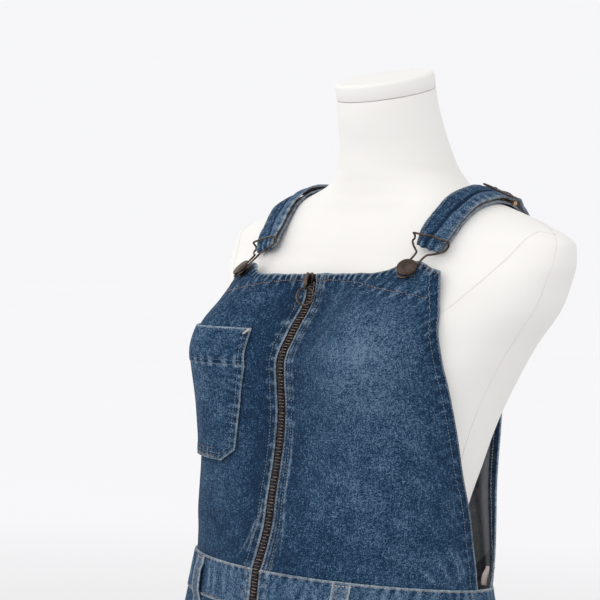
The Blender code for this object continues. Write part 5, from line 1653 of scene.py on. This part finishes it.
def make_strap(side, line, fold_index, slide_index):
    """The strap as one folded band with rolled, stitched edges, a long crease and small wrinkles."""
    points = rounded([item[0] for item in line], False, 6)
    normals = [item.normalized() for item in rounded([item[1] for item in line], False, 6)]
    count = len(points)
    frames = []
    for i in range(count):
        along = (points[min(i + 1, count - 1)] - points[max(i - 1, 0)]).normalized()
        across = along.cross(normals[i]).normalized()
        up = across.cross(along).normalized()
        frames.append((np.array(points[i]), np.array(across), np.array(up)))
    centre, cross, rise = (np.array([item[k] for item in frames])[:, None, :] for k in range(3))
    travel = np.concatenate([[0], np.cumsum(np.linalg.norm(np.diff(centre[:, 0], axis=0), axis=1))])
    reach = np.linspace(-STRAP_WIDTH / 2, STRAP_WIDTH / 2, 25)
    flat = np.stack(np.meshgrid(reach, travel), axis=-1)
    half = STRAP_CLOTH / 2
    bend, gather = np.zeros(flat.shape[:2]), np.zeros(flat.shape[:2])

    def place(out):
        found = centre + cross * (flat[..., :1] * (1 - gather)[..., None])
        return (found + rise * (half + out + bend)[..., None]) * np.array([side, 1.0, 1.0])

    cloth = Cloth(f"strap_band_{TAGS[side]}", flat, place, STRAP_CLOTH, 71 + side)
    cloth.rim_wear = 0.3
    length = travel[-1]
    across, run = flat[..., 0], flat[..., 1]
    for edge in (-1, 1):
        ends = np.linspace(0, length, 120)
        cloth.rub([(edge * STRAP_WIDTH / 2, s) for s in ends], 0.0016, 0.6)
        row = [(edge * (STRAP_WIDTH / 2 - 0.003), s) for s in ends]
        cloth.stitch(row, "pale_thread", pucker=0.00024, reach=0.0045)
    cloth.relief += 0.00022 * cloth.noise(60.0) + 0.00014 * cloth.noise(120.0, 1)
    cloth.shade += 0.16 * cloth.noise(54.0, 2) - 0.04
    hook_at, slide_at = travel[fold_index * 6], travel[slide_index * 6]
    stretch = (run - hook_at) / (slide_at - hook_at)
    on_top = ease(stretch / 0.16) * ease((1.0 - stretch) / 0.12)
    valley = -0.0035 + 0.0045 * np.sin(stretch * 3.0) + 0.0006 * uneven(run * 2.0, 5)
    away = across - valley
    if side == RIGHT:
        away = -away
    depth = on_top * (0.45 + 0.55 * bell(stretch - 0.5, 0.3))
    bend += depth * (-0.002 * bell(away, 0.0026) + 0.001 * bell(away - 0.0065, 0.004))
    bend += on_top * 0.0005 * np.sin(run * 150 + across * 160)
    # Painted shade in the crease, painted light on one side of it and painted shade on the other
    cloth.shade -= 1.2 * depth * bell(away - 0.0002, 0.002)
    cloth.shade += on_top * 0.12 * np.tanh(away / 0.004)
    cloth.wear += 0.42 * depth * bell(away - 0.004, 0.0011) * (0.6 + 0.5 * uneven(run * 3.0, 9))
    cloth.wear += 0.22 * depth * bell(away + 0.0034, 0.001)
    # Painted highlight beside the crease's ridge
    cloth.shade += 0.2 * depth * bell(away - 0.008, 0.0045)
    bunched = bell(run - slide_at - 0.0125, 0.0065)
    bend += 0.004 * bunched * (0.8 + 0.2 * np.cos(across * 300))
    # Painted shade where the strap bunches behind the slide
    cloth.shade -= 0.22 * bunched
    by_fold = bell(run - hook_at, 0.0135)
    gather += 0.2 * by_fold
    pleats = np.sin(across * math.tau / 0.0105 + 0.8)
    bend += 0.0006 * by_fold * pleats
    # Painted light and shade on the pleats by the hook's fold
    cloth.shade += 0.26 * by_fold * pleats
    cloth.wear += 0.3 * by_fold * np.clip(pleats, 0, 1) ** 2
    cloth.build([f"strap_{TAGS[side]}"], inner_relief=-1.0)


def hook_points(start, bar, across, front):
    """The hook's closed wire: a bar over the strap, its arms, and the eye round the button's shank."""
    up = (bar - start).normalized()
    length = (bar - start).length
    arm = [(x, length - down) for x, down in HOOK_ARM[2:]] + [HOOK_NECK]
    for degrees in range(50, 181, 26):
        angle = math.radians(degrees)
        arm.append((HOOK_EYE * math.sin(angle), HOOK_EYE_DROP * math.cos(angle) - HOOK_EYE_LOW))
    halves = []
    for way, slant in ((1, 0.0), (-1, HOOK_BAR_SLANT)):
        end = front - up * slant
        half = [front.lerp(end, 0.5) + across * way * 0.008, end + across * way * HOOK_BAR_HALF]
        half.append(end.lerp(bar, 0.25) + across * way * (HOOK_BAR_HALF + 0.0016))
        half.append(end.lerp(bar, 0.7) + across * way * (HOOK_BAR_HALF + 0.0016))
        halves.append(half + [start + across * (way * x) + up * y for x, y in arm])
    return [front] + halves[0] + halves[1][-2::-1]


def button_seat(height, bar, across):
    centre = Vector(FRONT_BIB.at(BUTTON_ARC, height))
    normal = across.cross(bar - centre).normalized()
    lift = 0.0
    for turn in range(12):
        angle = math.tau * turn / 12
        arc = BUTTON_ARC + BUTTON_WASHER * math.cos(angle)
        around = Vector(FRONT_BIB.at(arc, height + BUTTON_WASHER * math.sin(angle)))
        lift = max(lift, (around - centre).dot(normal))
    return centre + normal * lift, normal


def seated(point, normal, side):
    """Where a turned piece goes: at a point, its axis along a normal, on its own side."""
    aim = side_of(normal, side).to_track_quat("Z", "Y").to_matrix().to_4x4()
    return Matrix.Translation(side_of(point, side)) @ aim


def make_strap_side(side):
    """One strap with its hook, slide, slide bar and button; worked out on the left and mirrored."""
    tag = TAGS[side]
    stations = strap_base(frame["nodes"]["form_torso"], STRAP_STEPS, side * HOOK_BAR_LEAN)
    under, over = strap_layers(stations)
    over = drape_on_back(over)
    bar = (under[0][0] + over[0][0]) / 2
    bar_normal = over[0][1]
    down = (under[0][0] - under[1][0]).normalized()
    reach = (over[0][0] - under[0][0]).length / 2
    turn = []
    for step in range(1, 6):
        angle = math.pi * step / 6
        out = -bar_normal * math.cos(angle) + down * math.sin(angle)
        turn.append((bar + out * reach + down * (HOOK_FOLD_HANG * math.sin(angle)), out))
    line = [(p, -n) for p, n in reversed(under)] + turn + over
    at_bar = len(under) + len(turn) // 2
    at = int(SLIDE_AT * (len(stations) - 1))
    make_strap(side, line, at_bar, len(under) + len(turn) + at)
    along = (line[at_bar + 1][0] - line[at_bar - 1][0]).normalized()
    strap_across = along.cross(line[at_bar][1]).normalized()

    button, normal = button_seat(BUTTON_Z + side * BUTTON_LEAN, bar, strap_across)
    start = button + normal * HOOK_OVER_CLOTH
    off = STRAP_CLOTH + HOOK_WIRE + 2.5 * SEAM
    front = over[0][0].lerp(over[1][0], HOOK_BAR_UP) + over[0][1] * off
    wire = [side_of(p, side) for p in rounded(hook_points(start, bar, strap_across, front), True, 5)]
    hook = tube(f"hook_wire_{tag}", wire, HOOK_WIRE, "bronze", 12, closed=True)
    settle(hook, FIXED, "aged_bronze", f"strap_hook_{tag}")

    place = seated(button, normal, side)
    disc = turned(f"overall_button_{tag}", BUTTON_PROFILE, "button", 72, place)
    settle(disc, FIXED, "aged_bronze", f"bib_button_{tag}")

    centre, up = over[at]
    along = (over[at + 1][0] - over[at - 1][0]).normalized()
    cross = along.cross(up).normalized()
    up = cross.cross(along).normalized()
    lift = STRAP_CLOTH / 2 + SLIDE_WIRE + SEAM
    outline = []
    for sx, sy in ((1, 1), (-1, 1), (-1, -1), (1, -1)):
        near = (sx * SLIDE_HALF, sy * (SLIDE_REACH - SLIDE_CORNER))
        far = (sx * (SLIDE_HALF - SLIDE_CORNER), sy * SLIDE_REACH)
        outline += [near, far] if sx * sy > 0 else [far, near]
    wire = [side_of(centre + cross * x + along * y + up * lift, side) for x, y in outline]
    slide = tube(f"slide_frame_{tag}", cornered(wire), SLIDE_WIRE, "bronze", 12, closed=True)
    settle(slide, FIXED, "aged_bronze", f"strap_slide_{tag}")

    middle = centre - up * (STRAP_LAYERS_APART / 2)
    knob_in = SLIDE_HALF + KNOB_FROM
    knob_out = knob_in + KNOB_LENGTH
    soft = 0.0005
    profile = [(0, -knob_out), (KNOB - soft, -knob_out), (KNOB, -knob_out + soft)]
    profile += [(KNOB, -knob_in - soft), (KNOB - soft, -knob_in), (SLIDE_WIRE, -knob_in)]
    profile += [(radius, -height) for radius, height in reversed(profile)]
    rod = turned(f"slide_rod_{tag}", profile, "brass", 32, seated(middle, cross, side))
    settle(rod, FIXED, "brass", f"strap_slide_bar_{tag}")


def cornered(points):
    """A closed wire's straight runs kept straight, with a few points round each corner."""
    made = []
    count = len(points)
    for i in range(0, count, 2):
        one, two = points[i], points[i + 1]
        before, after = points[i - 1], points[(i + 2) % count]
        corner_in = (one - before).normalized()
        corner_out = (after - two).normalized()
        reach = (two - one).length * 0.55
        made.append((before + one) / 2)
        for step in range(7):
            t = step / 6
            p1, p2 = one + corner_in * reach * 0.7, two - corner_out * reach * 0.7
            made.append(
                one * (1 - t) ** 3 + p1 * 3 * t * (1 - t) ** 2 + p2 * 3 * t**2 * (1 - t) + two * t**3
            )
    return made


# Form and stand


def form_points(angle, height):
    half_width, middle, front_y, back_y, power, bust = smooth_row(FORM_SECTIONS, height)
    sine, cosine = np.sin(angle), np.cos(angle)
    x = half_width * np.sign(sine) * np.abs(sine) ** (2 / power)
    ahead = np.abs(cosine) ** (2 / power)
    swell = bust * bell(np.abs(x) - BUST_X, BUST_SPREAD) * np.sqrt(np.clip(cosine, 0, 1))
    front = middle - (middle - front_y) * ahead - swell
    y = np.where(cosine > 0, front, middle + (back_y - middle) * ahead)
    lift = min(max((height - NECK_TILT_FROM) / (NECK_TOP - NECK_TILT_FROM), 0.0), 1.0)
    rise = math.tan(NECK_TILT) * (y - NECK_Y) * lift
    return np.stack([x, y, WAIST_Z + height + rise], axis=-1)


FORM_STEPS, FORM_COLUMNS = 6, 220


def form_seams():
    """The cover's seams as lines in the air close to the form: both sides and the back's centre line."""
    lines = []
    for seam in (ARM_SEAM, PRINCESS_SEAM, BACK_SEAM):
        for side in (RIGHT, LEFT):
            lines.append([(side * x, y, WAIST_Z + z) for x, y, z in seam])
    keys = [row[0] for row in FORM_SECTIONS if row[0] < 0.38]
    lines.append([form_points(np.array([math.pi]), key)[0] for key in keys])
    return lines


def make_form():
    keys = [row[0] for row in FORM_SECTIONS]
    heights = [keys[0]]
    for low, high in zip(keys, keys[1:]):
        heights.extend(np.linspace(low, high, FORM_STEPS + 1)[1:])
    turns = np.arange(FORM_COLUMNS) * math.tau / FORM_COLUMNS
    grid = np.array([form_points(turns, height) for height in heights])
    rows, columns = grid.shape[:2]
    along = np.roll(grid, -1, axis=1) - np.roll(grid, 1, axis=1)
    upward = np.gradient(grid, axis=0)
    normal = np.cross(along, upward)
    normal /= np.maximum(np.linalg.norm(normal, axis=-1, keepdims=True), 1e-12)
    centre = np.array([0.0, 0.03, 0.0])
    flip = np.sign(((grid - centre) * normal * np.array([1, 1, 0])).sum(axis=-1, keepdims=True))
    normal *= np.where(flip == 0, 1, flip)
    seam = np.zeros((rows, columns))
    cords = []
    flat = grid.reshape(-1, 3)
    index = BVHTree.FromPolygons([Vector(p) for p in flat], ring_faces(rows, columns))
    for line in form_seams():
        fine = resampled(np.asarray(line, float), 0.004)
        snapped = np.array([index.find_nearest(Vector(p))[0] for p in fine])
        away = near_line(flat, snapped)[0].reshape(rows, columns)
        seam = np.maximum(seam, bell(away, 0.003))
        cords.append(snapped)
    grid = grid - normal * (0.00018 * seam)[..., None]
    verts = list(grid.reshape(-1, 3))
    bottom, top = len(verts), len(verts) + 1
    verts += [grid[0].mean(axis=0), grid[-1].mean(axis=0)]
    faces = ring_faces(rows, columns)
    for c in range(columns):
        k = (c + 1) % columns
        faces.append((bottom, k, c))
        faces.append((top, (rows - 1) * columns + c, (rows - 1) * columns + k))
    mesh = outward(mesh_from("form_cover", verts, faces))
    settle(link("form_cover", mesh, "jersey"), FIXED, "form_jersey", "form_torso")
    mesh.set_sharp_from_angle(angle=math.radians(50))
    for i, cord in enumerate(cords):
        path = [Vector(p) for p in resampled(cord, 0.003)]
        line = tube(f"form_seam_{i}", path, 0.0003, "jersey_seam", 6)
        settle(line, FIXED, "form_jersey")


def round_edge(radius, height, soft, steps):
    """Profile points round an upper edge, from its side to its top."""
    turns = [math.pi / 2 * step / steps for step in range(steps + 1)]
    return [(radius - soft * (1 - math.cos(a)), height - soft * (1 - math.sin(a))) for a in turns]


def make_neck_cap():
    profile = [(0, 0), (CAP_RADIUS - 0.0018, 0), (CAP_RADIUS - 0.0008, 0.0004), (CAP_RADIUS, 0.0014)]
    profile += round_edge(CAP_RADIUS, CAP_HEIGHT, CAP_ROUND, 8)
    profile += [(CAP_RADIUS * 0.5, CAP_HEIGHT + 0.0003), (0, CAP_HEIGHT + 0.0004)]
    seat = Matrix.Translation((0, NECK_Y, WAIST_Z + NECK_TOP))
    place = seat @ Matrix.Rotation(NECK_TILT, 4, "X") @ Matrix.Translation((0, 0, SEAM))
    cap = turned("form_cap", profile, "jersey", 128, place)
    settle(cap, FIXED, "form_jersey", "form_neck_cap")
    cap.data.set_sharp_from_angle(angle=math.radians(50))


def make_stand():
    low, high = BASE_HEIGHT + SEAM, WAIST_Z + FORM_SECTIONS[0][0] - SEAM
    taper, soft = 0.003, 0.0008
    foot = (
        (0, 0),
        (FLANGE_RADIUS, 0),
        (FLANGE_RADIUS, FLANGE_HEIGHT - soft),
        (FLANGE_RADIUS - soft, FLANGE_HEIGHT),
        (POLE_RADIUS + 0.004, FLANGE_HEIGHT + 0.0006),
        (POLE_RADIUS, FLANGE_HEIGHT + taper),
    )
    profile = [(r, low + z) for r, z in foot] + [(r, high - z) for r, z in reversed(foot)]
    pole = turned("stand_tube", profile, "steel", 72, Matrix.Translation((POLE_X, 0, 0)))
    settle(pole, FIXED, "stand_steel", "stand_pole")
    pole.data.set_sharp_from_angle(angle=math.radians(35))
    edge = round_edge(BASE_RADIUS, BASE_HEIGHT, BASE_ROUND, 6)
    plate = ((0, 0), (BASE_RADIUS - soft, 0), (BASE_RADIUS, soft), *edge, (0, BASE_HEIGHT))
    base = turned("stand_plate", plate, "paint", 160)
    settle(base, FIXED, "stand_paint", "stand_base")
    base.data.set_sharp_from_angle(angle=math.radians(35))


# Floor, light and camera


BACKDROP = (0.925, 0.925, 0.945)
LIGHT_FROM = (-0.05, -0.85, -0.02)
LIGHT_TURN, LIGHT_BASE = 0.37, 0.965
FLOOR_GLOW = (0.185, 0.185, 0.2)
FLOOR_DARK, FLOOR_LIGHT = (0.765, 0.765, 0.775), (0.785, 0.785, 0.795)
FLOOR_REACH = 40
KEY_PLACE, KEY_SIZE, KEY_POWER = (-0.9, -2.6, 1.7), 1.8, 6.0


def make_set():
    turns = [math.tau * k / 64 for k in range(64)]
    rim = [(FLOOR_REACH * math.cos(turn), FLOOR_REACH * math.sin(turn), 0) for turn in turns]
    floor = mesh_from("floor", rim, [tuple(range(64))])
    ground = Finish("floor_look", 0.9, Specular_IOR_Level=0.1)
    haze = ground.noise(ground.place(), 0.7, 2.0)
    ground.set("Base Color", ground.mix(haze, FLOOR_DARK, FLOOR_LIGHT))
    far = ground.node("ShaderNodeVectorMath", "Value", {"operation": "LENGTH"}, {0: ground.place()})
    ground.set("Emission Color", ground.mix(far.between(1.0, 3.6), (0.0, 0.0, 0.0), FLOOR_GLOW))
    ground.surface.inputs["Emission Strength"].default_value = 1.0
    made = new_object("floor", floor)
    floor.materials.append(ground.material)
    made.location.z = -0.0005
    sky = bpy.data.worlds.new("studio")
    bpy.context.scene.world = sky
    sky.use_nodes = True
    nodes, join = sky.node_tree.nodes, sky.node_tree.links.new
    shade = nodes["Background"]
    shade.inputs["Color"].default_value = (*BACKDROP, 1.0)
    shade.inputs["Strength"].default_value = 1.0
    way = nodes.new("ShaderNodeTexCoord")
    toward = nodes.new("ShaderNodeVectorMath")
    toward.operation = "DOT_PRODUCT"
    toward.inputs[1].default_value = LIGHT_FROM
    join(way.outputs["Generated"], toward.inputs[0])
    soft = Value(sky.node_tree, toward.outputs["Value"]) * LIGHT_TURN + LIGHT_BASE
    glow = nodes.new("ShaderNodeBackground")
    glow.inputs["Color"].default_value = (1.0, 0.995, 0.985, 1.0)
    join(soft.output, glow.inputs["Strength"])
    seen = nodes.new("ShaderNodeLightPath")
    choose = nodes.new("ShaderNodeMixShader")
    join(seen.outputs["Is Camera Ray"], choose.inputs[0])
    join(glow.outputs[0], choose.inputs[1])
    join(shade.outputs[0], choose.inputs[2])
    join(choose.outputs[0], nodes["World Output"].inputs["Surface"])
    light = bpy.data.lights.new("key", "AREA")
    light.energy, light.size = KEY_POWER, KEY_SIZE
    aim = (Vector((0, 0, 0.7)) - Vector(KEY_PLACE)).to_track_quat("-Z", "Y")
    new_object("key", light).matrix_world = Matrix.Translation(KEY_PLACE) @ aim.to_matrix().to_4x4()
    bpy.context.scene.view_settings.view_transform = "Standard"


def make_camera():
    sine, cosine, reach = math.sin(VIEW_YAW), math.cos(VIEW_YAW), math.cos(VIEW_RISE)
    back = Vector((sine * reach, -cosine * reach, math.sin(VIEW_RISE)))
    right = Vector((cosine, sine, 0))
    up = back.cross(right)
    target = Vector((0, 0, VIEW_HEIGHT)) - right * VIEW_SIDE
    level = right * math.cos(VIEW_ROLL) + up * math.sin(VIEW_ROLL)
    lens = bpy.data.cameras.new("camera")
    lens.lens, lens.sensor_width = VIEW_LENS, 36
    made = new_object("camera", lens)
    turn = Matrix((level, back.cross(level), back)).transposed().to_4x4()
    made.matrix_world = Matrix.Translation(target + back * VIEW_DISTANCE) @ turn
    bpy.context.scene.camera = made


def main():
    make_camera()
    make_set()
    make_form()
    make_neck_cap()
    make_stand()
    for side in (RIGHT, LEFT):
        make_bib_front(side)
        make_band_front(side)
        for facing in (FRONT, BACK):
            make_shorts(facing, side)
    make_bib_back()
    make_side_tab()
    make_band_back()
    make_pocket()
    for name, facing, x in BELT_LOOPS:
        make_belt_loop(name, facing, x)
    make_zip()
    make_slider()
    make_ring()
    tab = frame["nodes"]["zip_pull_tab"]
    for slot in tab.material_slots:
        slot.material = LOOKS["bronze"]
    for side in (RIGHT, LEFT):
        make_strap_side(side)


main()
